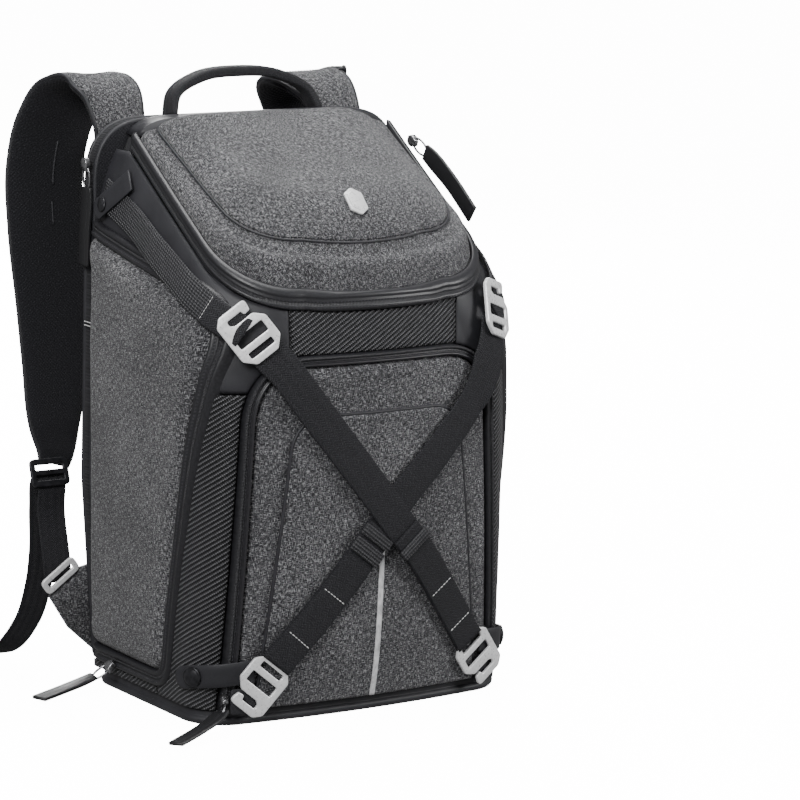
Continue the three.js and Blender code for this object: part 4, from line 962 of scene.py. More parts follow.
def puff(piece, voxel, cap, floor_depth):
    """Blows a closed piece up as cloth under pressure.

    Every point stays within cap, in metres, of where it started, and behind the floor it lies on.
    """
    remesh = piece.modifiers.new("remesh", "REMESH")
    remesh.mode = "VOXEL"
    remesh.voxel_size = voxel
    remesh.use_smooth_shade = True
    settle(piece)
    before = np.array([v.co for v in piece.data.vertices])
    cloth = piece.modifiers.new("cloth", "CLOTH")
    cloth.settings.use_pressure = True
    cloth.settings.uniform_pressure_force = 4
    cloth.settings.effector_weights.gravity = 0
    cloth.settings.quality = 4
    cloth.point_cache.frame_start = 1
    cloth.point_cache.frame_end = PUFF_FRAMES
    for step in range(1, PUFF_FRAMES + 1):
        bpy.context.scene.frame_set(step)
    settle(piece)
    bpy.context.scene.frame_set(1)
    after = np.array([v.co for v in piece.data.vertices])
    moved = after - before
    far = np.linalg.norm(moved, axis=1, keepdims=True)
    after = before + moved * np.minimum(1, cap / np.maximum(far, 1e-9))
    after[:, 1] = np.maximum(after[:, 1], floor_depth / 1000)
    piece.data.vertices.foreach_set("co", after.ravel())
    finer = piece.modifiers.new("finer", "SUBSURF")
    finer.levels = finer.render_levels = 1
    for face in piece.data.polygons:
        face.use_smooth = True


def swollen(name, low, high, radius, depth, thick, finish, nodes, cap):
    """A cushion on the back panel, blown up by a cloth simulation from a slightly smaller block."""
    corners = [(*low, radius), (high[0], low[1], radius), (*high, radius), (low[0], high[1], radius)]
    outline = respaced(bend(corners), 160, closed=True)
    centre = outline.mean(0)
    points = np.array(
        [upright(centre + (outline - centre) * share, depth + up * thick) for share, up in CUSHION_BLOCK]
    )
    piece = knit(name, points, wrapped(points[..., ::2]), finish, nodes)
    puff(piece, 0.005, cap, depth)
    return piece


# Cushions: air mesh over soft foam, sewn down at their edges on the back panel, one on each side of the spine.
# The simulation cuts them loose from the cloth's own directions, so their mesh is laid out by place instead.
air_mesh, place = new_finish("air mesh", by_cloth=False)
parts = [place.node("SeparateXYZ", {}, {0: place}, i) * 1000 for i in range(3)]
holes = (parts[0] * 1.9).math("SINE") * (parts[2] * 1.9).math("SINE")
fleck = place.node("TexNoise", {}, {"Vector": place, "Scale": 800.0, "Detail": 3.0})
surface(
    place,
    (fleck + holes * 0.12).graded(
        [(0.38, (0.008, 0.008, 0.010)), (0.56, (0.03, 0.03, 0.034)), (0.7, (0.09, 0.09, 0.098))]
    ),
    0.9,
    holes * 0.8 + fleck,
    0.5,
    Specular_IOR_Level=0.2,
)
for side, label in ((-1, "left"), (1, "right")):
    inner, outer = sorted((side * 19, side * 107))
    swollen(
        f"back_cushion_{label}",
        low=(inner, 62),
        high=(outer, 408),
        radius=14,
        depth=113.4,
        thick=7,
        finish=air_mesh,
        nodes=[f"back_pad_{label}"],
        cap=0.004,
    )

# Cross straps: two lengths of dark herringbone webbing that cross on the front door, from hook to hook.
# The lower part of each is doubled back on itself, held by ribbed keepers and sewn across with white thread.
webbing, place = new_finish("herringbone webbing")
across, up = place.split()
slant = (up + across.math("PINGPONG", 3.4)) * 3.4
weave = slant.math("SINE")
fuzz = place.fibres(1.6, 0.7, 2.0)
surface(
    place,
    (weave * 0.12 + fuzz * 0.8).graded(
        [(0.22, (0.006, 0.006, 0.008)), (0.45, (0.017, 0.017, 0.020)), (0.62, (0.045, 0.045, 0.05))]
    ),
    0.72,
    weave * 0.6 + fuzz * 0.4,
    0.35,
    Specular_IOR_Level=0.3,
)
painted_rib_webbing, place = new_finish("ribbed webbing")
across, up = place.split()
grid = (up * 2.3).math("SINE") * 0.7 + (across * 2.6).math("SINE") * 0.45
grain = place.fibres(1.5, 1.5, 2.0)
# The ribs run into the colour too: painted highlights on the raised ribs and painted shade between them.
surface(
    place,
    (grid * 0.2 + grain * 0.6).graded(
        [(0.15, (0.010, 0.010, 0.012)), (0.4, (0.030, 0.030, 0.034)), (0.6, (0.075, 0.075, 0.082))]
    ),
    0.45,
    grid * 0.7 + grain * 0.1,
    0.8,
    Specular_IOR_Level=0.5,
)


def speckled(name, scale, detail, dark, light, roughness, swing, relief_mm, **fixed):
    """A plain finish whose colour, gloss and relief are only a little uneven."""
    made, place = new_finish(name, by_cloth=False)
    speck = place.node("TexNoise", {}, {"Vector": place, "Scale": scale, "Detail": detail})
    gloss = speck * swing + roughness if swing else roughness
    surface(place, speck.graded([(0.3, dark), (0.7, light)]), gloss, speck, relief_mm, **fixed)
    return made


thread = speckled("white thread", 1500.0, 2.0, (0.5, 0.5, 0.5), (0.8, 0.8, 0.79), 0.7, 0, 0.1)
dark_thread = speckled("black thread", 1500.0, 2.0, (0.01, 0.01, 0.012), (0.04, 0.04, 0.045), 0.6, 0, 0.1)
dark_weave = speckled("dark weave", 1100.0, 2.0, (0.008, 0.008, 0.010), (0.035, 0.035, 0.04), 0.75, 0, 0.25)
FLAT = np.array(
    [(-1, 0.5), (-0.985, 0.85), (-0.93, 1), (-0.5, 1), (0, 1), (0.5, 1), (0.93, 1), (0.985, 0.85), (1, 0.5)]
)


def strap_path(rows, count=110):
    """A strap's middle line over the bag: distance round it, height and distance off it, evenly spaced."""
    rows = np.array(rows, float)
    return respaced(eased(np.linspace(0, length_along(rows)[-1], 400), length_along(rows), rows), count)


def strapped(name, path, width, thick, finish, nodes, shares=(0, 1), lift=0.0, bulge=4.0, round_end=0.0):
    """Webbing on the bag along a part of a path."""
    path = path[int(shares[0] * (len(path) - 1)) : int(math.ceil(shares[1] * (len(path) - 1))) + 1]
    side = -sides_of(path[:, :2])
    half = np.full(len(path), width / 2)
    if round_end:
        left = length_along(path[::-1, :2])[::-1]
        half = half * np.sqrt(np.clip(1 - (1 - np.clip(left / round_end, 0, 1)) ** 2, 0.04, 1))
    places = path[:, None, :2] + side[:, None] * (half[:, None, None] * FLAT[None, :, :1])
    off = path[:, 2:3] + lift
    lifts = off + thick * FLAT[None, :, 1]
    under = off + thick * (1 - FLAT[None, :, 1])
    across = np.concatenate([FLAT[:, 0], FLAT[::-1][1:-1, 0], FLAT[:1, 0]]) * width / 2
    cloth = np.dstack(np.broadcast_arrays(across, length_along(path[:, :2])[:, None]))
    return laid(name, places, lifts, lambda a, z, o: on_skin(a, z, o, bulge), finish, nodes, under, cloth)


def sewn(name, points, out, pitch, gap, size, finish):
    """A line of stitches along a path, each a short spindle of thread lying on the cloth."""
    along = length_along(points)
    count = max(int(along[-1] / pitch), 1)
    starts = (np.arange(count) + 0.5 * gap) * along[-1] / count
    ends = starts + (1 - gap) * along[-1] / count

    def read(at, values):
        return np.stack([np.interp(at, along, values[:, i]) for i in range(3)], 1)

    first, last = read(starts, points), read(ends, points)
    normal = read(starts, np.broadcast_to(out, points.shape))
    verts, faces = [], []
    for a, b, n in zip(first, last, normal):
        n = unit(n)
        side = np.cross(unit(b - a), n)
        base = len(verts)
        for t, r in ((0, 0.25), (0.15, 0.85), (0.5, 1), (0.85, 0.85), (1, 0.25)):
            for k in range(6):
                turn = k * math.pi / 3
                round_it = math.cos(turn) * side + (math.sin(turn) * 0.8 + 0.5) * n
                verts.append(a + (b - a) * t + size * r * round_it)
        for i in range(4):
            for k in range(6):
                m = (k + 1) % 6
                faces.append([base + i * 6 + k, base + i * 6 + 6 + k, base + i * 6 + 6 + m, base + i * 6 + m])
        faces.append([base + k for k in range(6)])
        faces.append([base + 24 + k for k in range(6)])
    mesh = bpy.data.meshes.new(name)
    mesh.from_pydata((np.array(verts) / 1000).tolist(), [], faces)
    return mounted(name, mesh, finish)


def across_strap(name, path, share, width, off, finish=thread, inset=2.0):
    """A line of stitches straight across a strap."""
    at = share * (len(path) - 1)
    here = np.array([np.interp(at, np.arange(len(path)), path[:, i]) for i in range(3)])
    low, high = path[max(int(at) - 1, 0)], path[min(int(at) + 2, len(path) - 1)]
    ahead = unit((high - low)[:2])
    side = np.array([-ahead[1], ahead[0]])
    u = np.linspace(-width / 2 + inset, width / 2 - inset, 14)
    around, z = here[0] + side[0] * u, here[1] + side[1] * u
    line = on_skin(around, z, here[2] + off, 4.0)
    beyond = on_skin(around, z, here[2] + off + 3, 4.0)
    sewn(name, line, beyond - line, 2.9, 0.2, 0.42, finish)


STRAP_A = [(-105, 311, 6.5), (-92, 294, 9.5), (-60, 250, 12.5), (-22, 200, 14.9), (6, 164, 15.3), (34, 130, 15.3)]
STRAP_A += [(62, 92, 12.7), (87, 56, 12.5), (92, 49, 12.5)]
STRAP_B = [(112, 312, 8.3), (107, 290, 10.1), (97, 262, 11.1), (54, 214, 12.4), (19, 181, 12.4), (-34, 117, 12.4)]
STRAP_B += [(-63, 82, 12.4), (-86, 56, 12.5), (-91, 50, 12.5)]
path_a, path_b = strap_path(STRAP_A), strap_path(STRAP_B)
strapped("cross_strap_a", path_a, 28, 2, webbing, ["cross_strap_upper_left"])
strapped("cross_strap_b", path_b, 28, 2, webbing, ["cross_strap_upper_right"])
strapped("cross_strap_fold_a", path_a, 27, 1.8, webbing, [], (0.62, 1), 2.2)
strapped("cross_strap_fold_b", path_b, 27, 1.8, webbing, [], (0.6, 1), 2.2)
KEEPER_REACH = 0.012
DOUBLED = (("a", path_a, (0.655,), (0.81, 0.93)), ("b", path_b, (0.62, 0.66), (0.79, 0.92)))
for label, path, keepers, seams in DOUBLED:
    for i, share in enumerate(keepers):
        shares = (share - KEEPER_REACH, share + KEEPER_REACH)
        strapped(f"keeper_{label}_{i}", path, 31, 1.4, painted_rib_webbing, [], shares, 4.2)
    for i, share in enumerate(seams):
        across_strap(f"strap_seam_{label}_{i}", path, share, 27, 4.0)

# Ribbed webbing: over each yoke from the back panel down to the upper hook, held by a tab with a snap.
# Its end is turned under and sewn with white thread.
RIBBED = [(298, 406, 4), (285, 402, 4), (245, 387, 5), (208, 372, 9.9), (152, 344, 10.1), (124, 325, 10.1)]
RIBBED += [(111, 316, 10.0)]
KEEPER = [(256, 420, 7.0), (276, 408, 7.0), (303, 392, 7.0), (306, 390, 7.0)]
CORNER_TAB = [(106, 46.5, 9.2), (128, 43, 8.4), (145, 40, 5.6), (160, 37, 5.6), (163, 36.6, 5.6)]


def surface_frame(around, z, off, bulge=4.0):
    """The directions on the bag at a place: round it, up it and outwards."""
    at = on_skin(around, z, off, bulge)
    along = on_skin(around + 1.5, z, off, bulge) - on_skin(around - 1.5, z, off, bulge)
    up = on_skin(around, z + 1.5, off, bulge) - on_skin(around, z - 1.5, off, bulge)
    along, up = unit(along), unit(up)
    return at, along, up, np.cross(along, up)


satin_black = speckled(
    "satin black metal", 260.0, 3.0, (0.015, 0.015, 0.017), (0.035, 0.035, 0.04), 0.26, 0.14, 0.03, Metallic=0.5
)
SNAP = [(1.02, 0.0), (1.04, 0.35), (0.98, 0.62), (0.9, 0.7), (0.84, 0.66), (0.8, 0.72), (0.62, 1.0), (0.35, 1.18)]
SNAP += [(0.08, 1.24)]


def snap(name, around, z, off, radius, nodes):
    """A domed press snap with a rolled rim."""
    at, along, up, out = surface_frame(around, z, off)
    turn = np.arange(40) / 40 * 2 * math.pi
    circle = np.cos(turn)[:, None] * along + np.sin(turn)[:, None] * up
    points = np.array([at + out * (height * radius * 0.36) + share * radius * circle for share, height in SNAP])
    knit(name, points, cloth_of(points, np.arange(41)), satin_black, nodes)


for side, label in ((-1, "left"), (1, "right")):
    flip = np.array([side, 1, 1])
    path = strap_path(RIBBED * flip)
    nodes = [f"ribbed_webbing_{label}"]
    strapped(f"ribbed_strap_{label}", path, 25, 2.2, painted_rib_webbing, nodes, bulge=0.0)
    strapped(f"ribbed_end_{label}", path, 24.4, 1.6, webbing, [], (0.86, 1), 2.3, 0.0)
    across_strap(f"ribbed_seam_{label}", path, 0.85, 25, 2.3)
    path = strap_path(KEEPER * flip, 60)
    nodes = [f"keeper_tab_{label}"]
    strapped(f"keeper_flap_{label}", path, 17, 2, smooth_cloth, nodes, bulge=0.0, round_end=8)
    snap(f"keeper_dome_{label}", side * 293, 398, 9.2, 5.8, [f"keeper_snap_{label}"])
    path = strap_path(CORNER_TAB * flip, 60)
    nodes = [f"corner_tab_{label}"]
    strapped(f"corner_flap_{label}", path, 19, 2, smooth_cloth, nodes, bulge=0.0, round_end=9)
    snap(f"corner_dome_{label}", side * 147, 40, 7.8, 8.2, [f"corner_snap_{label}"])

# Bar tacks: short dense rows of white thread at the back edges of the sides.
# They hold the side panels where they are caught in the back panel's binding.
for side, label in ((-1, "left"), (1, "right")):
    for i, z in enumerate((296, 299)):
        y = np.linspace(95, 107, 12)
        line = np.column_stack([np.full(12, side * 146.6), y, np.full(12, float(z))])
        sewn(f"bar_tack_{label}_{i}", line, np.array([side, 0, 0.0]), 1.6, 0.1, 0.55, thread)

# Hooks: flat plates of bright cast metal with rounded edges, one at each end of both cross straps.
# The strap passes through the two slots, and the open tail hooks into a webbing loop.
bright = speckled(
    "bright satin metal", 420.0, 4.0, (0.78, 0.78, 0.79), (0.92, 0.92, 0.92), 0.22, 0.14, 0.02, Metallic=0.3
)


def flat_piece(name, outlines, thick, bevel, at, along_u, along_v, finish, nodes):
    """A plate cut from a drawing, its first outline the rim and the others holes, with rounded edges."""
    curve = bpy.data.curves.new(name, "CURVE")
    curve.dimensions = "2D"
    curve.fill_mode = "BOTH"
    curve.extrude = thick / 2000 - bevel / 1000
    curve.bevel_depth = bevel / 1000
    curve.bevel_resolution = 2
    for outline in outlines:
        line = curve.splines.new("POLY")
        line.points.add(len(outline) - 1)
        line.use_cyclic_u = True
        for point, (u, v) in zip(line.points, outline):
            point.co = (u / 1000, v / 1000, 0, 1)
    drawn = bpy.data.objects.new(name, curve)
    bpy.context.scene.collection.objects.link(drawn)
    graph = bpy.context.evaluated_depsgraph_get()
    mesh = bpy.data.meshes.new_from_object(drawn.evaluated_get(graph))
    bpy.data.objects.remove(drawn)
    u = unit(along_u)
    n = unit(np.cross(u, along_v))
    v = np.cross(n, u)
    middle = at + n * thick / 2
    for vertex in mesh.vertices:
        x, y, z = vertex.co
        vertex.co = middle / 1000 + x * u + y * v + z * n
    piece = mounted(name, mesh, finish, nodes)
    work = bmesh.new()
    work.from_mesh(piece.data)
    bmesh.ops.remove_doubles(work, verts=work.verts, dist=1e-6)
    for edge in work.edges:
        edge.smooth = edge.calc_face_angle(0) < math.radians(50)
    work.to_mesh(piece.data)
    work.free()
    return piece


def box_line(width, height, radius, middle=0.0):
    """A rounded rectangle, as a drawing of a plate or of a slot in it."""
    a, low, high = width / 2, middle - height / 2, middle + height / 2
    return bend([(-a, low, radius), (a, low, radius), (a, high, radius), (-a, high, radius)], 5)


HOOK = [(-18, -6, 3), (-11, -13, 4), (6, -13, 3), (10, -15.5, 3), (10, -20.5, 2.5), (-5, -20.5, 1.5), (-6, -16.8, 1.2)]
HOOK += [(-10.5, -17.5, 1.2), (-12, -25.6, 3), (12, -25.6, 4), (18, -20, 4), (18, 12, 4), (10, 20, 4)]
HOOK += [(-10, 20, 4), (-18, 12, 4)]
ON_PANEL = 12.5
HOOKS = [
    ("hook_upper_left", -107, 314, 9.2, -54),
    ("hook_upper_right", 114, 316, 11.0, -108),
    ("hook_lower_left", -101, 37, ON_PANEL, 50),
    ("hook_lower_right", 101, 37, ON_PANEL, 126),
]
for name, around, z, off, degrees in HOOKS:
    at, along, up, out = surface_frame(around, z, off)
    angle = math.radians(degrees - 90)
    u = along * math.cos(angle) + up * math.sin(angle)
    v = up * math.cos(angle) - along * math.sin(angle)
    outlines = [bend(HOOK, 6), box_line(28, 10.5, 2, -0.5), box_line(24, 6.5, 2, 12.2)]
    flat_piece(f"{name}_plate", outlines, 3, 0.7, at, u, v, bright, [name])
for side, label in ((-1, "left"), (1, "right")):
    at, along, up, out = surface_frame(side * 112, 22, 8.6)
    nodes = [f"hook_loop_{label}"]
    flat_piece(f"loop_{label}", [box_line(20, 20, 2)], 2, 0.5, at, along, up, dark_weave, nodes)


# Badge: a small plain plate of bright metal on the lid, near its front and on its middle line.
# It has six sides, and a smaller raised face on its middle.
def lid_place(y, raised):
    """The lid's height on its middle line, at a depth."""
    _, front, _, _, _, bow, _ = section(1.0, 0.0)
    inset = y - (front - bow)
    share = np.interp(inset / LID_SHOULDER, lid_steps, lid_heights)
    along = np.clip((y + HALF_DEPTH) / (LID_BACK + HALF_DEPTH), 0, 1)
    return RIM + rise(y) + (LID_CROWN + (LID_CROWN_BACK - LID_CROWN) * along) * share + raised


height = float(lid_place(-74.0, 3.4))
slope = (float(lid_place(-70.0, 0)) - float(lid_place(-78.0, 0))) / 8
at, v = np.array([0, -74.0, height]), np.array([0, 1, slope])
shape = [(-7.5, -7.8, 1.5), (0, -13, 2), (7.5, -7.8, 1.5), (7.5, 7.8, 1.5), (0, 13, 2), (-7.5, 7.8, 1.5)]
u = np.array([1.0, 0, 0])
flat_piece("badge", [bend(shape, 5)], 2, 0.6, at, u, v, bright, ["badge_plate"])
inner = [(x * 0.72, y * 0.76, r) for x, y, r in shape]
flat_piece("badge_face", [bend(inner, 5)], 1.2, 0.5, at + [0, -0.6, 1.3], u, v, bright, [])

# Shoulder straps: padded, grey heather cloth on the outside and black mesh on the face that lies on the wearer.
# They're sewn on the back panel under its top edge, arch over, hang down behind and end in a ladder buckle.
STRAP_LEFT = [(-108, 0, 430, 20), (-109, 1, 462, 23), (-112, 11, 484, 27), (-118, 28, 491, 31), (-128, 44, 481, 33)]
STRAP_LEFT += [(-139, 53, 457, 34), (-147, 56, 420, 34), (-148, 52, 370, 34), (-146, 46, 310, 32), (-147, 40, 255, 28)]
STRAP_LEFT += [(-150, 34, 210, 23), (-151, 30, 184, 16), (-154, 27, 174, 12.5)]
STRAP_RIGHT = [(101, 0, 430, 20), (100, 2, 460, 22), (93, 12, 479, 29), (84, 28, 486, 38), (93, 44, 476, 38)]
STRAP_RIGHT += [(108, 53, 454, 36), (124, 56, 420, 34), (136, 52, 370, 34), (142, 46, 310, 32), (146, 40, 255, 28)]
STRAP_RIGHT += [(150, 34, 210, 23), (151, 30, 184, 16), (154, 27, 174, 12.5)]
STRAP_BACK = 119.6


def swept(name, rows, thicks, profile, count, finish, nodes, breadth=(1, 0, 0), offset=0.0):
    """A band along a smooth line. Each row is x, y, z and half its breadth."""
    rows, thicks = np.array(rows, float), np.array(thicks, float)
    chord = length_along(rows[:, :3])
    at = np.linspace(0, chord[-1], count)
    smooth = eased(at, chord, rows)
    thick = np.interp(at, chord, thicks)
    ahead = heading(smooth[:, :3])
    lift = unit(np.cross(ahead, breadth))
    across = np.cross(lift, ahead)
    points = (
        smooth[:, None, :3]
        + across[:, None] * (smooth[:, None, 3:4] * profile[None, :, :1])
        + lift[:, None] * (thick[:, None, None] * profile[None, :, 1:] + offset)
    )
    girth = length_along(np.concatenate([profile, profile[:1]]) * (smooth[:, 3].mean(), thick.mean()))
    return knit(name, points, cloth_of(points, girth), finish, nodes), smooth, across, lift


PAD = bend([(-1, -1, 0.5), (1, -1, 0.5), (1, 1, 0.5), (-1, 1, 0.5)], 6)
across_face = np.linspace(-1, 1, 24)
bowed = 1 - across_face**6
CUSHION = np.concatenate(
    [
        np.stack([across_face * 0.97, 0.55 + 0.45 * bowed], 1),
        [(1.0, 0.4), (1.0, -0.1)],
        np.stack([-across_face * 0.97, -0.3 - 0.05 * bowed], 1),
        [(-1.0, -0.1), (-1.0, 0.4)],
    ]
)
COVER = np.concatenate(
    [
        np.stack([across_face * 0.98, -0.4 - 0.6 * bowed], 1),
        np.stack([-across_face * 0.98, -0.36 - 0.05 * bowed], 1),
    ]
)
WEBBING_ROWS = [(-164, 121.3, 80, 12.5), (-164, 123.3, 95, 12.5), (-163, 135.6, 140, 12.5), (-161, 139.6, 164, 12.5)]
WEBBING_ROWS += [(-161, 144.6, 168, 12.5), (-162, 148.6, 163, 12.5), (-163, 150.6, 140, 12.5), (-162, 152.6, 105, 12.5)]
WEBBING_ROWS += [(-164, 157.6, 70, 12.5), (-171, 165.6, 38, 12.5), (-184, 175.6, 17, 12.5), (-200, 185.6, 10, 12.5)]
STRIP_FACE = np.array([(-1, -0.5), (-0.97, -0.9), (-0.9, -1), (0.9, -1), (0.97, -0.9), (1, -0.5)])
STRIP = np.concatenate([STRIP_FACE, -STRIP_FACE])
WING = [(-118, 20, 3), (-136, 22, 3), (-158, 42, 3), (-176, 71, 2), (-149, 92, 2), (-118, 98, 3)]
WING_RINGS = [(0.05, 113.4), (0.99, 113.4), (1.0, 115), (0.995, 117), (0.96, 118.1), (0.9, 118.3), (0.05, 118.3)]
PAD_STEPS = 150
SLITS = [(0.34, 0.44, 0.15), (0.47, 0.52, 0.1)]
SEAM_STEPS = (26, 44)
for side, label, rows in ((-1, "left", STRAP_LEFT), (1, "right", STRAP_RIGHT)):
    rows = [(x, STRAP_BACK + back, z, half) for x, back, z, half in rows]
    thicks = [6] * (len(rows) - 2) + [4.8, 1.8]
    nodes = [f"shoulder_strap_{label}"]
    piece, line, across, lift = swept(
        f"strap_pad_{label}", rows, thicks, CUSHION, PAD_STEPS, mesh_cloth, nodes
    )
    piece, *_ = swept(f"strap_cover_{label}", rows, thicks, COVER, PAD_STEPS, heather, [])
    for i, (first, last, aside) in enumerate(SLITS):
        part = slice(int(first * PAD_STEPS), int(last * PAD_STEPS))
        slit = line[part, :3] + across[part] * (line[part, 3:4] * aside) + lift[part] * 5.7
        tube(f"strap_slit_{label}_{i}", slit, 1.0, smooth_cloth)
    for i, step in enumerate(SEAM_STEPS):
        u = np.linspace(-0.86, 0.86, 22)[:, None]
        seam = line[step, :3] + across[step] * line[step, 3] * u - lift[step] * 6.15
        sewn(f"strap_seam_{label}_{i}", seam, -lift[step], 3.0, 0.25, 0.3, dark_thread)
    for edge, edge_name in ((-1, "out"), (1, "in")):
        rim = line[:, :3] + across * (line[:, 3:4] * 0.985 * edge) - lift * 1.6
        tube(f"strap_binding_{label}_{edge_name}", rim, 1.7, smooth_cloth)
    rows = [(x * -side, y, z, half) for x, y, z, half in WEBBING_ROWS]
    nodes = [f"strap_webbing_{label}"]
    swept(f"adjuster_webbing_{label}", rows, [0.9] * len(rows), STRIP, 170, webbing, nodes)
    shape = [(x * -side, z, radius) for x, z, radius in WING]
    wing = respaced(bend(shape, 8), 120, closed=True)
    middle = wing.mean(0)
    points = np.array([upright(middle + (wing - middle) * share, depth) for share, depth in WING_RINGS])
    knit(f"wing_{label}", points, wrapped(points[..., ::2]), heather, [f"wing_tab_{label}"])
    seam = upright(respaced(middle + (wing - middle) * 0.86, 60, closed=True), 118.4)
    sewn(f"wing_seam_{label}", seam, np.array([0, 1.0, 0]), 3.0, 0.25, 0.35, thread)
    buckle = [box_line(33, 22, 4), box_line(27, 6, 1.5, 4.4), box_line(27, 6, 1.5, -4.4)]
    at = np.array([side * 163.0, 139.6, 169.0])
    u, v = np.array([1.0, 0, 0]), np.array([0, 0.35, 1])
    nodes = [f"ladder_buckle_{label}"]
    flat_piece(f"ladder_lock_{label}", buckle, 3, 0.8, at, u, v, satin_black, nodes)
    ring = [box_line(34, 12, 4), box_line(28, 6, 2)]
    at = np.array([side * 166.2, 114.3, 87.4])
    u, v = np.array([1.0, 0, -side * 0.72]), np.array([0, 0, 1.0])
    nodes = [f"wing_ring_{label}"]
    flat_piece(f"wing_ring_plate_{label}", ring, 3, 0.9, at, u, v, bright, nodes)

# Haul handle: a padded loop of webbing, thickest where it's held.
# Both of its ends are sewn into the top of the back panel.
HANDLE = [(-70, 103.5, 463.3, 8.5), (-63, 110, 480.3, 8.5), (-38.5, 115, 493.2, 8.5), (0, 116.5, 497.3, 8.5)]
HANDLE += [(38.5, 115, 493.2, 8.5), (63, 110, 480.3, 8.5), (70, 103.5, 463.3, 8.5)]
HANDLE_THICKS = [3.4, 3.6, 4.2, 4.4, 4.2, 3.6, 3.4]
piece, *_ = swept(
    "handle_grip", HANDLE, HANDLE_THICKS, PAD, 90, webbing, ["haul_handle"], breadth=(0, 1, 0)
)

# Zip pulls: a cast slider on the zip, a wire ring through it, and a tab of rubbery cloth folded round the ring.
# Each route is three points on the slider and ring, and then the points of the tab that hangs from them.
gunmetal = speckled(
    "gunmetal", 500.0, 3.0, (0.22, 0.22, 0.23), (0.4, 0.4, 0.41), 0.2, 0.15, 0.02, Metallic=0.95
)
rubber, place = new_finish("rubbery pull cloth")
grain = place.fibres(2.0, 2.0, 2.0)
across, up = place.split()
edge_seam = 1 - (across.math("ABSOLUTE") - 5.5).math("ABSOLUTE").between(0.2, 0.7)
surface(
    place,
    (grain * 0.6 + edge_seam * 0.3).graded(
        [(0.2, (0.010, 0.010, 0.011)), (0.6, (0.025, 0.025, 0.028)), (0.9, (0.06, 0.06, 0.065))]
    ),
    0.42,
    grain * 0.3 - edge_seam * 0.7,
    0.3,
    Specular_IOR_Level=0.5,
)
PULLS = {
    "side_pull_upper_left": (
        (0, 1, 0),
        [(-147.2, 103.5, 430), (-146.8, 103.5, 422), (-146.4, 103.5, 412)]
        + [(-146, 103.5, 402), (-147.2, 104.5, 375), (-147.8, 105.5, 345)],
    ),
    "side_pull_lower_left": (
        (0, 1, 0),
        [(-152, 50, 24), (-154.5, 52, 21), (-163, 54, 16), (-175, 55, 12), (-196, 52, 8), (-220, 46, 5)],
    ),
    "front_pull": (
        (0.3, 1, 0),
        [(-127, -91, 24), (-128, -93, 20), (-134, -101, 17), (-149, -113, 14), (-169, -121, 9), (-190, -127, 4)],
    ),
    "lid_pull": (
        (0, -0.5, 1),
        [(127.8, 45, 441), (128.3, 38, 438.5), (129, 28, 434), (129.5, 18, 429), (131, -10, 412), (132, -42, 388)],
    ),
}
for label in ("upper", "lower"):
    breadth, rows = PULLS[f"side_pull_{label}_left"]
    PULLS[f"side_pull_{label}_right"] = (breadth, [(-x, y, z) for x, y, z in rows])
for name, (breadth, rows) in PULLS.items():
    rows = np.array(rows, float)
    onward = rows[3] - rows[2]
    start = rows[2] + unit(onward) * 3
    tab = [(*start, 7)] + [(*row, 8) for row in rows[3:]]
    swept(f"{name}_tab", tab, [1.4] * len(tab), STRIP, 40, rubber, [name], breadth)
    ahead = unit(rows[1] - rows[0])
    side_way = np.cross(unit(np.cross(ahead, breadth)), ahead)
    body = [(*(rows[0] - ahead * 3), 3.0), (*rows[0], 4.6), (*(rows[0] + ahead * 5), 4.0), (*rows[1], 2.6)]
    swept(f"{name}_slider", body, [2.2, 3.0, 2.6, 1.6], PAD, 24, gunmetal, [], breadth)
    reach = rows[2] - rows[1]
    length = np.linalg.norm(reach) * 0.5 + 5
    middle = (rows[1] + rows[2]) / 2
    turn = np.arange(36) / 36 * 2 * math.pi
    ring = middle + np.cos(turn)[:, None] * unit(reach) * length + np.sin(turn)[:, None] * side_way * 5.5
    tube(f"{name}_ring", ring, 0.95, gunmetal, closed=True, around=8)


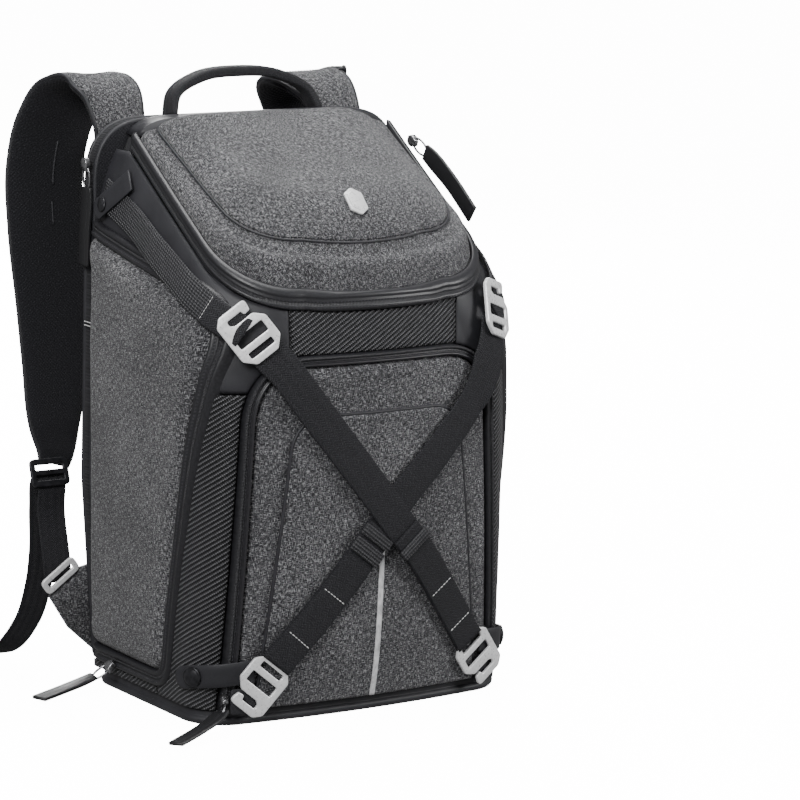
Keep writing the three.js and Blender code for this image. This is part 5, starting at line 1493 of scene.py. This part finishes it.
# Floor and a white sweep behind it, lit so brightly that they burn out round the bag, and the studio's soft panels.
# The glow of both reaches the camera only, so that it doesn't wash out the dark cloth.
def lit_white(name, glow):
    """A white that shines by itself."""
    made, place = new_finish(name, by_cloth=False)
    speck = place.node("TexNoise", {}, {"Vector": place, "Scale": 3.0, "Detail": 2.0})
    white = speck.graded([(0.3, 0.86), (0.7, 0.88)])
    surface(place, white, 0.7, speck, 0.01, Emission_Color=(1, 1, 1, 1), Emission_Strength=glow)
    return made


mesh = bpy.data.meshes.new("floor")
mesh.from_pydata([(-9, -9, 0), (9, -9, 0), (9, 9, 0), (-9, 9, 0)], [], [(0, 1, 2, 3)])
floor = bpy.data.objects.new("floor", mesh)
mesh.materials.append(lit_white("studio floor", 14.0))
work = bmesh.new()
bmesh.ops.create_uvsphere(work, u_segments=48, v_segments=24, radius=12)
mesh = bpy.data.meshes.new("sweep")
work.to_mesh(mesh)
work.free()
sweep = bpy.data.objects.new("sweep", mesh)
mesh.materials.append(lit_white("studio sweep", 60.0))
for thing in (floor, sweep):
    bpy.context.scene.collection.objects.link(thing)
    thing.visible_diffuse = False
    thing.visible_glossy = False
sweep.visible_transmission = False
sweep.visible_shadow = False

room = bpy.data.worlds.new("white room")
bpy.context.scene.world = room
room.use_nodes = True
room.node_tree.nodes["Background"].inputs["Color"].default_value = (1, 1, 1, 1)
room.node_tree.nodes["Background"].inputs["Strength"].default_value = 0.3
LAMPS = [
    ("key", (-2.0, -1.6, 2.0), 1.1, 85),
    ("right", (2.0, -1.8, 1.2), 0.9, 50),
    ("top", (0.2, 0.3, 2.4), 1.2, 50),
    ("behind", (0.9, 2.6, 1.2), 1.4, 55),
]
for name, where, size, power in LAMPS:
    lamp = bpy.data.objects.new(name, bpy.data.lights.new(name, "AREA"))
    bpy.context.scene.collection.objects.link(lamp)
    lamp.data.size = size
    lamp.data.energy = power
    lamp.location = where
    lamp.rotation_euler = (Vector((0, 0, 0.25)) - lamp.location).to_track_quat("-Z", "Y").to_euler()
